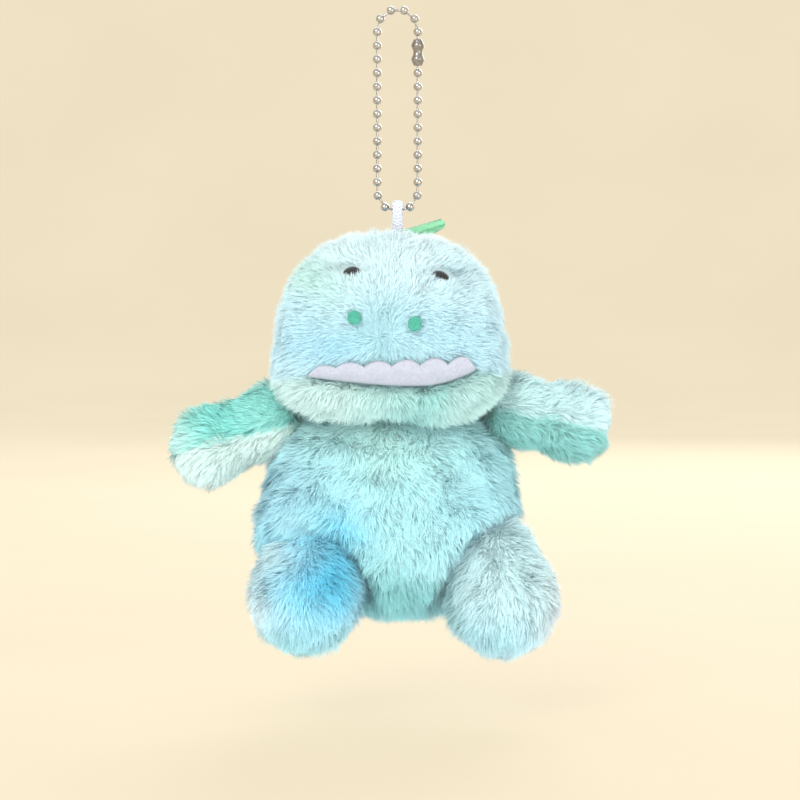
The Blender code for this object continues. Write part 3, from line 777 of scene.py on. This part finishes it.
def map_strands(mesh, count, corners):
    """One small cell of the map for every strand, so that its colours can be baked."""
    columns = math.ceil(math.sqrt(count))
    index = np.arange(count)
    low = np.stack([index % columns, index // columns], axis=1) / columns
    u = np.array([0, 1, 1, 0, 0, 1, 0.5])
    v = np.array([0, 0, 1, 1, 1, 1, 2]) / 2
    cell = np.stack([0.15 + 0.7 * u, 0.1 + 0.8 * v], axis=1) / columns
    uvs = low[:, None, :] + cell[None, :, :]
    layer = mesh.uv_layers.new(name="OFBake")
    layer.data.foreach_set("uv", uvs.astype(np.float32).reshape(count * corners, 2).ravel())


# Plush pieces

FUR_LOOK = {
    "density": 13.0,
    "length": 3.9 * MM,
    "width": 0.11 * MM,
    "lean": 0.85,
    "ruffle": 0.3,
    "tuft": 9,
    "pull": 0.3,
    "mottle": 0.04,
    # painted shade: how dark the strands are painted at their roots
    "root_shade": 0.82,
    "smooth": 0.8,
}

WHITE_FELT_DYE = (0.47, 0.48, 0.54)
GREEN_FELT_DYE = (0.34, 0.80, 0.46)
FELT_LOOK = {"width": 0.05 * MM, "lean": 1.1, "ruffle": 2.0, "tuft": 3, "pull": 0.1}


def fur_look(seed, **changes):
    return {**FUR_LOOK, "seed": SEED + seed, **changes}


def finish_plush(backing, fur, dye, material, place):
    """Colours the backing and gives it its cloth; attaches both pieces to their body when place names
    one, and otherwise only bakes their transforms.
    """
    backing.data.materials.append(material)
    # painted shade: the backing is painted at 0.72 of the pile's dye, for the shade at the bottom of the
    # pile
    set_dye_and_shade(backing.data, dye(points_of(backing)) * 0.72)
    for piece in (backing, *fur):
        if isinstance(place, str):
            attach(piece, place)
        else:
            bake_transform(piece)


def everywhere(value):
    """The same direction or dye at every point."""
    return lambda points: np.tile(np.array(value, float), (len(points), 1))


HEAD_CENTRE = box_centre("head_cover")
EYES = {side: box_centre("eye_" + side) for side in ("left", "right")}
NOSTRILS = {side: box_centre("nostril_" + side) for side in ("left", "right")}
TEETH_LOW, TEETH_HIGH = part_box("teeth_strip")
CREASE_X = (NOSTRILS["left"].x + NOSTRILS["right"].x) / 2
CREASE_TOP = NOSTRILS["left"].z
CREASE_END = CREASE_TOP - 8.5 * MM
EYE_SLANT = {"left": math.radians(14), "right": math.radians(-30)}


def eye_place(points, side):
    """How far points lie along and above an eye's slanting lid."""
    eye, slant = EYES[side], EYE_SLANT[side]
    x, z = points[:, 0] - eye.x, points[:, 2] - eye.z
    return x * math.cos(slant) + z * math.sin(slant), z * math.cos(slant) - x * math.sin(slant)


def shape_head(head):
    """Hollows round the eyes and nostrils, a crease down the muzzle and a mouth line."""
    points = points_of(head)
    front = points[:, 1] < HEAD_CENTRE.y
    inward = (0.0, 1.0, 0.0)
    for side, eye in EYES.items():
        rise = Vector((-math.sin(EYE_SLANT[side]), 0.0, math.cos(EYE_SLANT[side])))
        centre = eye + rise * 1.6 * MM + Vector((0.0, 3.0 * MM, 0.0))
        points = dent(points, centre, (3.8 * MM, 7 * MM, 2.2 * MM), np.array(inward) * 2.0 * MM)
        lower_lid = eye - rise * 2.0 * MM
        points = dent(points, lower_lid, (5.5 * MM, 9 * MM, 2.0 * MM), np.array(inward) * -3.0 * MM)
        cheek = eye - rise * 5.2 * MM
        points = dent(points, cheek, (7 * MM, 9 * MM, 3.6 * MM), np.array(inward) * -1.6 * MM)
    for nostril in NOSTRILS.values():
        points = dent(points, nostril, 2.6 * MM, np.array(inward) * 1.6 * MM)
    jowls = bell(points[:, 2] - HEAD_CENTRE.z + 19 * MM, 9 * MM)
    points[:, 0] = HEAD_CENTRE.x + (points[:, 0] - HEAD_CENTRE.x) * (1 + 0.11 * jowls)
    crown = bell(points[:, 2] - HEAD_CENTRE.z - 10 * MM, 9 * MM)
    points[:, 0] = HEAD_CENTRE.x + (points[:, 0] - HEAD_CENTRE.x) * (1 + 0.04 * crown)
    above_end = smooth_step(points[:, 2], CREASE_END - 2 * MM, CREASE_END)
    within = above_end * (1 - smooth_step(points[:, 2], CREASE_TOP, CREASE_TOP + 2 * MM))
    groove = bell(points[:, 0] - CREASE_X, 1.0 * MM) * within * front
    points[:, 1] += groove * 1.1 * MM
    mouth = bell(points[:, 2] - mouth_height(points[:, 0]), 0.9 * MM)
    reach = 1 - smooth_step(np.abs(points[:, 0] - HEAD_CENTRE.x), 21 * MM, 29 * MM)
    points[:, 1] += mouth * reach * front * 2.6 * MM
    lip_height = points[:, 2] - mouth_height(points[:, 0]) + 3.2 * MM
    lip = bell(lip_height, 2.6 * MM) * front
    points[:, 1] -= lip * reach * 1.6 * MM
    points[:, 1] -= lip * (1 - reach) * front * 0.6 * MM
    forward = 1 - smooth_step(points[:, 1], HEAD_CENTRE.y - 8 * MM, HEAD_CENTRE.y + 2 * MM)
    under = 1 - smooth_step(points[:, 2], TEETH_LOW.z - 10 * MM, TEETH_LOW.z - 2 * MM)
    points[:, 2] -= under * (1 - forward) * 4.0 * MM
    under *= forward
    right = smooth_step(points[:, 0], -2 * MM, 8 * MM)
    notch = bell(points[:, 0] + 2 * MM, 6 * MM)
    points[:, 2] -= under * (2.6 + 2.4 * right - 1.6 * notch) * MM
    points[:, 1] -= under * 1.2 * MM
    set_points(head, points)


def mouth_height(x):
    """The height of the mouth line, just under the teeth and level past their ends."""
    return teeth_base(np.clip(teeth_share(x), 0.0, 1.0)) - 0.4 * MM


def head_dye(points):
    patches = (
        ((0, 0, 27), (28, 44, 15), CROWN_DYE, 0.95),
        ((-20, -12, 11), (9, 14, 7), MINT_DYE, 0.85),
        ((-15, -22, -5), (13, 20, 7), SKY_DYE, 0.95),
        ((0, -22, -3), (9, 20, 8), AQUA_DYE, 0.55),
        ((17, -22, -3), (12, 20, 9), SKY_DYE, 0.5),
        ((-2, 22, 4), (20, 14, 18), SKY_DYE, 0.6),
        ((14, 22, -14), (12, 14, 10), MINT_DYE, 0.7),
    )
    colour = dyed(points, FOREHEAD_DYE, HEAD_CENTRE, patches, SEED)
    chin_patches = (
        ((8, -22, -17), (9, 20, 5), CHIN_SHADE_DYE, 0.75),
        ((-18, -22, -17), (10, 20, 8), PALE_DYE, 0.7),
    )
    chin = dyed(points, CHIN_DYE, HEAD_CENTRE, chin_patches, SEED + 1)
    mouth = mouth_height(points[:, 0])
    below = 1 - smooth_step(points[:, 2], mouth - 0.5 * MM, mouth)
    below = below * (points[:, 1] < HEAD_CENTRE.y + 6 * MM)
    return colour + (chin - colour) * below[:, None]


def head_flow(points):
    """The nap runs away from the middle of the muzzle, and down over the chin and the back."""
    centre = np.array((CREASE_X, HEAD_CENTRE.y - 23 * MM, HEAD_CENTRE.z - 4 * MM))
    away = unit((points - centre) * np.array((1.0, 0.6, 0.8)))
    away[:, 2] -= 0.35
    for side in EYES:
        across, up = eye_place(points, side)
        under = np.exp(-(across / (4 * MM)) ** 2 - ((up + 1.6 * MM) / (1.8 * MM)) ** 2)
        away[:, 2] += 2.0 * under
    return away


def face_clear(points):
    """Keeps the pile off the eyes, nostrils, teeth and the cord's hole."""
    kept = np.ones(len(points), bool)
    front = points[:, 1] < HEAD_CENTRE.y
    for side in EYES:
        across, up = eye_place(points, side)
        lid = (across / (2.5 * MM)) ** 2 + ((up - 0.8 * MM) / (1.3 * MM)) ** 2 < 1
        kept &= ~(front & lid & (up > 0.3 * MM))
    for nostril in NOSTRILS.values():
        across, up = points[:, 0] - nostril.x, points[:, 2] - nostril.z
        kept &= ~(front & (across ** 2 + up ** 2 < (1.1 * MM) ** 2))
    share = teeth_share(points[:, 0])
    teeth = (share > 0) & (share < 1)
    share = np.clip(share, 0.0, 1.0)
    teeth &= (points[:, 2] > teeth_base(share) - 0.3 * MM) & (points[:, 2] < teeth_top(share) - 0.3 * MM)
    kept &= ~(front & teeth)
    kept &= np.hypot(points[:, 0], points[:, 1]) > 1.6 * MM
    return kept


def head_length(points):
    """Shorter pile on the face than on the back of the head and the chin."""
    face = 1 - smooth_step(points[:, 1], HEAD_CENTRE.y - 16 * MM, HEAD_CENTRE.y - 4 * MM)
    snout = face * smooth_step(points[:, 2], TEETH_HIGH.z - 1 * MM, TEETH_HIGH.z + 1 * MM)
    length = 1 - 0.3 * snout
    for side in EYES:
        across, up = eye_place(points, side)
        lid = np.exp(-(across / (4 * MM)) ** 2 - ((up - 0.5 * MM) / (2.5 * MM)) ** 2)
        length *= 1 - 0.55 * face * lid
    return length


def add_head(fur_cloth, backing_cloth):
    head = wrapped_form("head_backing", ["head_cover", "chin_cover"], [], PILE)
    shape_head(head)
    pieces = []
    for seed, part in enumerate(("front", "back")):
        def keep(points, part=part):
            region = (points[:, 1] < HEAD_CENTRE.y) == (part == "front")
            return region & face_clear(points)

        look = fur_look(seed)
        pieces.append(
            grow_fur("head_pile_" + part, head, fur_cloth, look, head_flow, head_dye, keep, head_length)
        )
    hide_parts("head_cover", "chin_cover", "head_filling", "eye_washer_left", "eye_washer_right")
    finish_plush(head, pieces, head_dye, backing_cloth, "head")
    return head


def shape_torso(torso, centre):
    """Fuller shoulders and hips, so that the limbs grow out of the body."""
    points = points_of(torso)
    x, y, z = centre
    shoulders = bell(points[:, 2] - z - 17 * MM, 8 * MM)
    hips = bell(points[:, 2] - z + 12 * MM, 12 * MM)
    points[:, 0] = x + (points[:, 0] - x) * (1 + 0.09 * shoulders + 0.21 * hips)
    crease = bell(points[:, 0] - 0.9 * MM, 1.5 * MM) * (points[:, 1] < y)
    points[:, 1] += crease * (1 - smooth_step(points[:, 2], z - 14 * MM, z - 6 * MM)) * 1.6 * MM
    points = dent(points, (x, y + 2 * MM, z + 29 * MM), (18 * MM, 16 * MM, 9 * MM), (0.0, 0.0, 7.0 * MM))
    for side in (-1, 1):
        thigh = (x + side * 20 * MM, y - 14 * MM, z - 9 * MM)
        points = dent(points, thigh, (12 * MM, 18 * MM, 13 * MM), (side * 2.0 * MM, -7.0 * MM, 0.0))
    set_points(torso, points)


def add_torso(fur_cloth, backing_cloth, head):
    limbs = ["arm_cover_left", "arm_cover_right", "leg_cover_left", "leg_cover_right", "tail_cover"]
    torso = wrapped_form("torso_backing", ["torso_cover", "torso_filling"], limbs, PILE)
    centre = box_centre("torso_cover")
    shape_torso(torso, centre)
    head_tree = mesh_tree(head.data)

    def dye(points):
        patches = (
            # painted light: the light green patch at the top of the front lifts the shade under the chin
            ((-6, -20, 20), (22, 30, 9), BODY_GREEN_AND_PAINTED_LIGHT_DYE, 0.8),
            ((-26, -8, 8), (10, 24, 16), SKY_DYE, 0.75),
            ((-19, -16, -9), (12, 20, 8), BLUE_DYE, 0.9),
            ((2, -20, -6), (16, 20, 10), WHITE_DYE, 0.2),
            ((1, -18, -20), (13, 24, 11), BELLY_DYE, 0.9),
            ((24, -12, -4), (10, 24, 14), SKY_DYE, 0.4),
            ((-10, 22, -6), (14, 16, 16), BLUE_DYE, 0.55),
            ((16, 22, 12), (14, 16, 12), MINT_DYE, 0.75),
        )
        return dyed(points, BODY_DYE, centre, patches, SEED + 3)

    def flow(points):
        away = (points - np.array(centre)) * np.array((0.5, 0.2, 0.2))
        return unit(away) * 0.5 + np.array((0.0, 0.0, -1.0))

    pieces = []
    for seed, part in enumerate(("front", "back")):
        def keep(points, part=part):
            region = (points[:, 1] < centre.y) == (part == "front")
            return region & ~is_inside(points, head_tree, -1.0 * MM)

        look = fur_look(4 + seed, length=4.6 * MM, tuft=16, pull=0.45, ruffle=0.45)
        pieces.append(grow_fur("torso_pile_" + part, torso, fur_cloth, look, flow, dye, keep))
    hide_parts("torso_cover", "torso_filling")
    finish_plush(torso, pieces, dye, backing_cloth, "torso")
    return torso


def joint_point(name):
    joint = next(item for item in frame["joints"] if item["name"] == name)
    return Vector(joint["pos_m"])


def add_limb(name, joint, look, dye, flow, cloths, pile, torso, shape=None):
    """A stuffed limb whose pile stays clear of the torso; its pieces are left in place and attached to
    no body.
    """
    kind, dash, side = name.partition("_")
    cover, filling = kind + "_cover" + dash + side, kind + "_filling" + dash + side
    form = wrapped_form(name + "_backing", [cover], [], pile, detail=5, relax=10)
    if shape is not None:
        shape(form)
    tree = mesh_tree(torso.data)

    def clear(points):
        return ~is_inside(points, tree, -0.5 * MM)

    fur = grow_fur(name + "_pile", form, cloths[0], look, flow, dye, clear)
    root = joint_point(joint)
    way = (box_centre(cover) - root).normalized()
    start, end = root - way * 1.0 * MM, root + way * 8.0 * MM
    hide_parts(cover, filling)
    finish_plush(form, [fur], dye, cloths[1], ("torso", name, tuple(start), tuple(end)))


def add_arms(cloths, torso):
    for side, sign in (("left", -1), ("right", 1)):
        name = "arm_" + side
        root = joint_point("shoulder_" + side)
        low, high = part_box("arm_cover_" + side)
        tip = Vector((low.x if sign < 0 else high.x, root.y - 2 * MM, low.z + (high.z - low.z) * 0.36))
        way = (tip - root).normalized()
        down = Vector((0, -1, 0)).cross(way).normalized()
        down = down if down.z < 0 else -down
        seam_offset = (1.5 if side == "left" else 0.2) * MM

        def below(points, root=root, down=down, seam_offset=seam_offset):
            """Distance below the arm's lengthwise seam."""
            return (points - np.array(root)) @ np.array(down) - seam_offset

        def shape(form, below=below):
            points = points_of(form)
            normals = normals_of(form)
            groove = bell(below(points), 0.9 * MM) * (normals[:, 1] < 0.2)
            stuffed = normals * np.array((0.4, 0.6, 1.0)) * 1.5 * MM
            set_points(form, points + stuffed - normals * groove[:, None] * 1.1 * MM)

        def dye(points, side=side, below=below, root=root, tip=tip):
            upper = TEAL_DYE if side == "left" else WHITE_DYE
            lower = PALE_DYE if side == "left" else CHIN_SHADE_DYE
            end = PALE_DYE if side == "left" else FOREHEAD_DYE
            from_root = [shift / MM for shift in tip - root]
            # painted light: the light green patch at the arm's root lifts the shade beside the body
            patches = [(from_root, (9, 12, 9), end, 0.7), ((0, 0, 0), (11, 14, 10), BODY_GREEN_AND_PAINTED_LIGHT_DYE, 0.5)]
            top = dyed(points, upper, root, patches, SEED + 5)
            bottom = dyed(points, lower, root, [], SEED + 6)
            share = smooth_step(below(points), -0.5 * MM, 0.5 * MM)
            return top + (bottom - top) * share[:, None]

        def flow(points, way=way, below=below, down=down):
            lift = np.clip(below(points) / (6 * MM), -1, 1)[:, None]
            return np.array(way) + np.array(down) * lift * 0.6 + np.array((0, 0, -0.2))

        look = fur_look(8 + (sign > 0), length=4.0 * MM, tuft=14, pull=0.4, lean=0.95)
        add_limb(name, "shoulder_" + side, look, dye, flow, cloths, LIMB_PILE, torso, shape)


def add_legs(cloths, torso):
    for side, sign in (("left", -1), ("right", 1)):
        name = "leg_" + side
        x, y, z = centre = box_centre("leg_cover_" + side)

        def dye(points, side=side, centre=centre):
            if side == "left":
                patches = (
                    ((4, -10, 6), (14, 17, 16), BLUE_DYE, 0.97),
                    # The near-white patch on the outer side is partly pale dye and partly painted light
                    # for the glowing edge of the pile.
                    ((-15, -6, -4), (7, 16, 15), CROWN_DYE, 0.97),
                    ((0, -6, -15), (13, 16, 6), CHIN_SHADE_DYE, 0.8),
                )
                return dyed(points, FOREHEAD_DYE, centre, patches, SEED + 7)
            patches = (
                ((4, -10, 6), (12, 16, 9), WHITE_DYE, 0.85),
                ((-1, -12, -10), (12, 14, 7), AQUA_DYE, 0.8),
                # The near-white patch on the outer side is partly pale dye and partly painted light for
                # the glowing edge of the pile.
                ((14, -2, -6), (7, 16, 14), CROWN_DYE, 0.95),
                ((-12, -8, -2), (6, 14, 9), BELLY_DYE, 0.6),
            )
            return dyed(points, FOREHEAD_DYE, centre, patches, SEED + 8)

        def flow(points, x=x, y=y, z=z):
            away = (points - np.array((x, y - 8 * MM, z + 16 * MM))) * np.array((1.0, 0.2, 1.0))
            return unit(away) * 0.7 + np.array((0.0, 0.0, -0.6))

        def shape(form, x=x, y=y, z=z, sign=sign):
            """The thigh slopes up and back into the belly."""
            thigh = (x - sign * 5 * MM, y - 1 * MM, z + 13 * MM)
            points = dent(points_of(form), thigh, 12 * MM, (-sign * 2.0 * MM, 3.0 * MM, 5.0 * MM))
            set_points(form, points)

        look = fur_look(10 + (sign > 0), length=4.3 * MM, tuft=14, pull=0.4)
        add_limb(name, "hip_" + side, look, dye, flow, cloths, LIMB_PILE, torso, shape)


def add_tail(cloths, torso):
    def dye(points):
        return dyed(points, BODY_DYE, (0, 0, 0), [], SEED + 9)

    look, flow = fur_look(12, length=3.4 * MM), everywhere((0, 0.8, -0.6))
    add_limb("tail", "tail_wag", look, dye, flow, cloths, TAIL_PILE, torso)


# Face and felt

def long_axis(node):
    """The direction a long node runs in, pointing forward, and its foremost point along it."""
    mesh = frame["nodes"][node].data
    points = np.array([vert.co for vert in mesh.vertices])
    centre = points.mean(axis=0)
    axis = np.linalg.svd(points - centre)[2][0]
    axis = axis if axis[1] < 0 else -axis
    height = (points - centre) @ axis
    return Vector(axis), Vector(centre + axis * height.max())


def add_eyes(gloss):
    """Domed buttons with a narrow rim, sunk in their hollows."""
    radius, crown, sink = 2.75 * MM, 2.1 * MM, 2.3 * MM
    steps = 14
    for side in EYES:
        axis, top = long_axis("eye_" + side)
        profile = [(0.0, -1.2 * MM), (radius * 0.9, -1.2 * MM), (radius, -0.9 * MM), (radius, -0.2 * MM)]
        for i in range(steps + 1):
            angle = math.pi / 2 * i / steps
            profile.append((radius * 0.97 * math.cos(angle), crown * math.sin(angle)))
        bm = bmesh.new()
        turned(bm, profile, 40, frame_along(top - axis * (crown + sink), axis))
        bmesh.ops.remove_doubles(bm, verts=bm.verts, dist=0.001 * MM)
        bmesh.ops.recalc_face_normals(bm, faces=bm.faces)
        eye = object_from_bmesh("button_eye_" + side, bm, gloss)
        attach(eye, "head")
        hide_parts("eye_" + side)


def tube(bm, line, radius, sides=6):
    """Adds a round thread along a line of points."""
    rings = []
    for i, point in enumerate(line):
        way = (line[min(i + 1, len(line) - 1)] - line[max(i - 1, 0)]).normalized()
        turn = way.to_track_quat("Z", "Y")
        corners = []
        for j in range(sides):
            angle = 2 * math.pi * j / sides
            local = Vector((radius * math.cos(angle), radius * math.sin(angle), 0))
            corners.append(bm.verts.new(point + turn @ local))
        rings.append(corners)
    add_skin(bm, rings)


def add_nostrils(thread):
    """Satin stitch: threads side by side over an oval, with an outline stitched round it."""
    radius, stitches, thread_radius, sink = 1.5 * MM, 10, 0.18 * MM, 2.1 * MM
    for side, place in NOSTRILS.items():
        mesh = frame["nodes"]["nostril_" + side].data
        points = np.array([vert.co for vert in mesh.vertices])
        out = Vector(np.linalg.svd(points - points.mean(axis=0))[2][2])
        out = out if out.y < 0 else -out
        turn = out.to_track_quat("Z", "Y").to_matrix()
        centre = place - out * sink
        slant = Matrix.Rotation(math.radians(25 if side == "left" else -20), 3, "Z")
        bm = bmesh.new()
        for i in range(stitches):
            across = -1 + 2 * (i + 0.5) / stitches
            half = radius * math.sqrt(1 - across * across) * (1.0 if i % 2 else 0.94)
            line = []
            for k in range(9):
                share = -1 + k / 4
                rise = 0.5 * MM * (1 - share ** 4) * (1 - 0.4 * across * across)
                local = Vector((share * half, across * radius * 1.12, rise))
                line.append(centre + turn @ (slant @ local))
            tube(bm, line, thread_radius)
        steps = 28
        ring = []
        for k in range(steps + 1):
            angle = 2 * math.pi * k / steps
            wobble = 1 + 0.04 * math.sin(7 * angle)
            local = Vector((math.cos(angle) * 1.02, math.sin(angle) * 1.14, 0.0)) * radius * wobble
            ring.append(centre + turn @ (slant @ local))
        tube(bm, ring, thread_radius * 0.9)
        nostril = object_from_bmesh("stitched_nostril_" + side, bm, thread)
        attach(nostril, "head")
        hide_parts("nostril_" + side)


TEETH_COUNT = 6
TEETH_THICKNESS = 0.9 * MM


def teeth_base(share):
    """The sewn lower edge, which sags in the middle and turns up at its ends."""
    left = np.clip((0.6 - share) / 0.6, 0, 1) ** 1.6 * 2.2 * MM
    right = np.clip((share - 0.68) / 0.32, 0, 1) ** 1.8 * 3.8 * MM
    return TEETH_LOW.z + left + right


def teeth_top(share):
    """The cut upper edge: round crowns on a line that climbs to the right."""
    crown = np.abs(np.sin(math.pi * TEETH_COUNT * share)) ** 0.8 * (0.9 + 1.0 * share) * MM
    line = TEETH_LOW.z + np.interp(share, (0.0, 0.2, 1.0), (3.5, 4.6, 5.4)) * MM
    ends = np.clip(np.minimum(share, 1 - share) / 0.05, 0, 1) ** 0.5
    base = teeth_base(share)
    return base + (line + crown - base) * (0.25 + 0.75 * ends)


def teeth_share(x):
    return (x - TEETH_LOW.x) / (TEETH_HIGH.x - TEETH_LOW.x)


def add_teeth(felt, fuzz):
    """A scalloped felt strip that lies up against the muzzle, sewn along its lower edge."""
    columns, rows = 150, 12
    tree = tree_of("head_cover", "chin_cover")
    bm = bmesh.new()
    fronts, backs = [], []
    for column in range(columns + 1):
        share = column / columns
        x = TEETH_LOW.x + (TEETH_HIGH.x - TEETH_LOW.x) * share
        base, top = float(teeth_base(share)), float(teeth_top(share))
        front, back = [], []
        for row in range(rows + 1):
            up = row / rows
            z = base + (top - base) * up
            place = tree.ray_cast(Vector((x, -1.0, z)), Vector((0, 1, 0)))[0]
            rim = min(up, 1 - up, share * 12, (1 - share) * 12)
            half = TEETH_THICKNESS / 2 * math.sqrt(1 - (1 - min(rim / 0.1, 1.0)) ** 2)
            sink = 1.4 * MM * (1 - up) ** 3
            middle = place.y + 0.7 * MM + sink
            front.append(bm.verts.new((x, middle - half, z)))
            back.append(bm.verts.new((x, middle + half, z)))
        fronts.append(front)
        backs.append(back)
    for column in range(columns):
        for row in range(rows):
            a, b = fronts[column], fronts[column + 1]
            bm.faces.new((a[row], b[row], b[row + 1], a[row + 1]))
            a, b = backs[column], backs[column + 1]
            bm.faces.new((a[row], a[row + 1], b[row + 1], b[row]))
    bmesh.ops.remove_doubles(bm, verts=bm.verts, dist=0.02 * MM)
    axes = {"use_axis_x": False, "use_axis_y": True, "use_axis_z": False}
    bmesh.ops.smooth_vert(bm, verts=bm.verts, factor=0.5, **axes)
    bmesh.ops.recalc_face_normals(bm, faces=bm.faces)
    teeth = object_from_bmesh("felt_teeth", bm, felt)
    look = fur_look(13, density=9, length=0.55 * MM, **FELT_LOOK)
    fibres = grow_fur("felt_teeth_fibres", teeth, fuzz, look, everywhere((1, 0, 0.3)),
                      everywhere(WHITE_FELT_DYE))
    for piece in (teeth, fibres):
        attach(piece, "head")
    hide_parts("teeth_strip")


BASE_SINK = 2.4 * MM  # how far a spike's sewn edge stands down in the pile
CROWN_SHIFT = Vector((2.4, 0.0, -1.6)) * MM  # of the crown's spike, clear of the cord


def add_spikes(felt, fuzz, thread):
    """Two layers of felt sewn along their edges, standing on the head's middle seam."""
    rows, columns = 26, 20
    half_length, layer = 4.2 * MM, 1.15 * MM
    for number in ("1", "2", "3"):
        node = "spike_" + number
        joint = next(item for item in frame["joints"] if item["child"] == node)
        seat, along_seam = Vector(joint["pos_m"]), Vector(joint["axis"])
        points = np.array([vert.co for vert in frame["nodes"][node].data.vertices])
        rise = Vector(points.mean(axis=0)) - seat
        rise = (rise - along_seam * rise.dot(along_seam)).normalized()
        face = along_seam.cross(rise)
        height = float(((points - np.array(seat)) @ np.array(rise)).max())
        seat = seat + CROWN_SHIFT if number == "1" else seat
        bm = bmesh.new()
        skins = {1: [], -1: []}
        stitch_line = []
        for row in range(rows + 1):
            up = row / rows
            swell = math.sqrt(max(1 - up ** 2.4, 0.0))
            wide = half_length * (0.32 + 0.68 * (1 - up)) * swell + 0.02 * MM
            bend = face * (math.sin(up * 1.4) * 0.5 * MM)
            lift = up * height - BASE_SINK * (1 - up)
            for sign in skins:
                line = []
                for column in range(columns + 1):
                    across = -1 + 2 * column / columns
                    rim = min(1.0, (1 - abs(across)) / 0.12) * min(1.0, (1 - up) / 0.06)
                    seam = 1 - 0.45 * math.exp(-((abs(across) - 0.72) / 0.1) ** 2)
                    thick = layer * (0.25 + 0.75 * math.sqrt(max(1 - (1 - rim) ** 2, 0))) * seam
                    thick *= 1.0 if rim > 0 else 0.0
                    place = seat + rise * lift + along_seam * (across * wide)
                    line.append(bm.verts.new(place + bend + face * sign * thick))
                skins[sign].append(line)
            if 1 < row < rows - 2:
                stitch_line.append((seat + rise * lift + bend, wide * 0.72))
        for sign, grid in skins.items():
            add_grid(bm, grid, flip=sign < 0)
        bmesh.ops.remove_doubles(bm, verts=bm.verts, dist=0.02 * MM)
        bmesh.ops.recalc_face_normals(bm, faces=bm.faces)
        spike = object_from_bmesh("felt_" + node, bm, felt)
        stitches = bmesh.new()
        for side in (-1, 1):
            for sign in (-1, 1):
                for (a, wide_a), (b, wide_b) in list(zip(stitch_line, stitch_line[1:]))[::2]:
                    ends = []
                    for place, wide in ((a, wide_a), (b, wide_b)):
                        ends.append(place + along_seam * (side * wide) + face * (sign * layer * 0.62))
                    arch = ends[0].lerp(ends[1], 0.5) + face * sign * 0.05 * MM
                    tube(stitches, [ends[0], arch, ends[1]], 0.11 * MM)
        sewing = object_from_bmesh("stitches_" + node, stitches, thread)
        look = fur_look(14 + int(number), density=8, length=0.6 * MM, **FELT_LOOK)
        fibres = grow_fur("fibres_" + node, spike, fuzz, look, everywhere(tuple(rise)),
                          everywhere(GREEN_FELT_DYE))
        for piece in (spike, sewing, fibres):
            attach(piece, node)
        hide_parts(node)


# Stage and light

FLOOR_Z = CAD_LOW.z - 14 * MM


def add_stage():
    """A pale floor that curves up into a wall all round, well outside every view."""
    nodes = Nodes("backdrop")
    nodes.set(Roughness=0.9)
    paper = nodes.noise(6.0, 2.0)
    pale = nodes.ramp(paper, (0.3, (0.22, 0.19, 0.137)), (0.7, (0.227, 0.197, 0.143)))
    nodes.paint(pale)
    nodes.join(pale, nodes.shader.inputs["Emission Color"])
    nodes.set(Emission_Strength=2.75)
    flat, bend, wall = 1.3, 0.6, 2.2
    profile = [(0.0, 0.0), (flat * 0.5, 0.0), (flat, 0.0)]
    for i in range(1, 13):
        angle = math.pi / 2 * i / 12
        profile.append((flat + bend * math.sin(angle), bend * (1 - math.cos(angle))))
    profile.append((flat + bend, wall))
    bm = bmesh.new()
    turned(bm, profile, 96, Matrix.Translation((0, 0, FLOOR_Z)))
    bmesh.ops.reverse_faces(bm, faces=bm.faces)
    floor = object_from_bmesh("floor", bm, nodes.material)
    floor.visible_shadow = False
    floor.visible_diffuse = False


def add_light(name, place, size, power, colour):
    data = bpy.data.lights.new(name, "AREA")
    data.shape = "DISK"
    data.size = size
    data.energy = power
    data.color = colour
    light = bpy.data.objects.new(name, data)
    bpy.context.scene.collection.objects.link(light)
    light.location = place
    light.rotation_mode = "QUATERNION"
    light.rotation_quaternion = (VIEW_TARGET - Vector(place)).to_track_quat("-Z", "Y")


def add_lights():
    world = bpy.data.worlds.new("studio")
    bpy.context.scene.world = world
    world.use_nodes = True
    sky = world.node_tree.nodes["Background"]
    sky.inputs["Color"].default_value = (0.97, 0.99, 1.0, 1.0)
    sky.inputs["Strength"].default_value = 0.95
    add_light("key", (-0.4, -0.8, 0.5), 0.6, 4.8, (1.0, 0.99, 0.97))
    add_light("fill", (0.6, -0.7, -0.05), 0.7, 2.4, (0.98, 0.99, 1.0))
    add_light("low_fill", (-0.1, -0.8, -0.4), 0.6, 3.2, (0.98, 0.99, 1.0))
    add_light("rim", (0.2, 0.8, 0.3), 0.6, 4.4, (1.0, 1.0, 1.0))
    bpy.context.scene.view_settings.view_transform = "Standard"


def main():
    add_camera()
    braid = fibre_material("white_braid", (0.76, 0.77, 0.82), (0.55, 0.57, 0.64), 2500.0, 0.06 * MM)
    add_cord(braid)
    steel = steel_material("polished_steel", (0.6, 0.6, 0.62), (0.45, 0.45, 0.47), 0.14)
    dark_steel = steel_material("dark_steel", (0.42, 0.41, 0.42), (0.25, 0.24, 0.25), 0.24)
    add_chain(steel)
    add_connector(dark_steel)
    fur_cloth, backing_cloth = fur_material("plush_pile"), backing_material("plush_backing")
    cloths = (fur_cloth, backing_cloth)
    head = add_head(fur_cloth, backing_cloth)
    torso = add_torso(fur_cloth, backing_cloth, head)
    add_arms(cloths, torso)
    add_legs(cloths, torso)
    add_tail(cloths, torso)
    add_eyes(eye_material())
    thread = fibre_material("green_thread", (0.08, 0.46, 0.33), (0.03, 0.28, 0.19), 1800.0, 0.05 * MM)
    add_nostrils(thread)
    white_felt = fibre_material("white_felt", WHITE_FELT_DYE, (0.38, 0.39, 0.45), 1300.0, 0.12 * MM)
    add_teeth(white_felt, fur_cloth)
    green_felt = fibre_material("green_felt", GREEN_FELT_DYE, (0.2, 0.62, 0.32), 1300.0, 0.12 * MM)
    add_spikes(green_felt, fur_cloth, thread)
    add_stage()
    add_lights()


main()
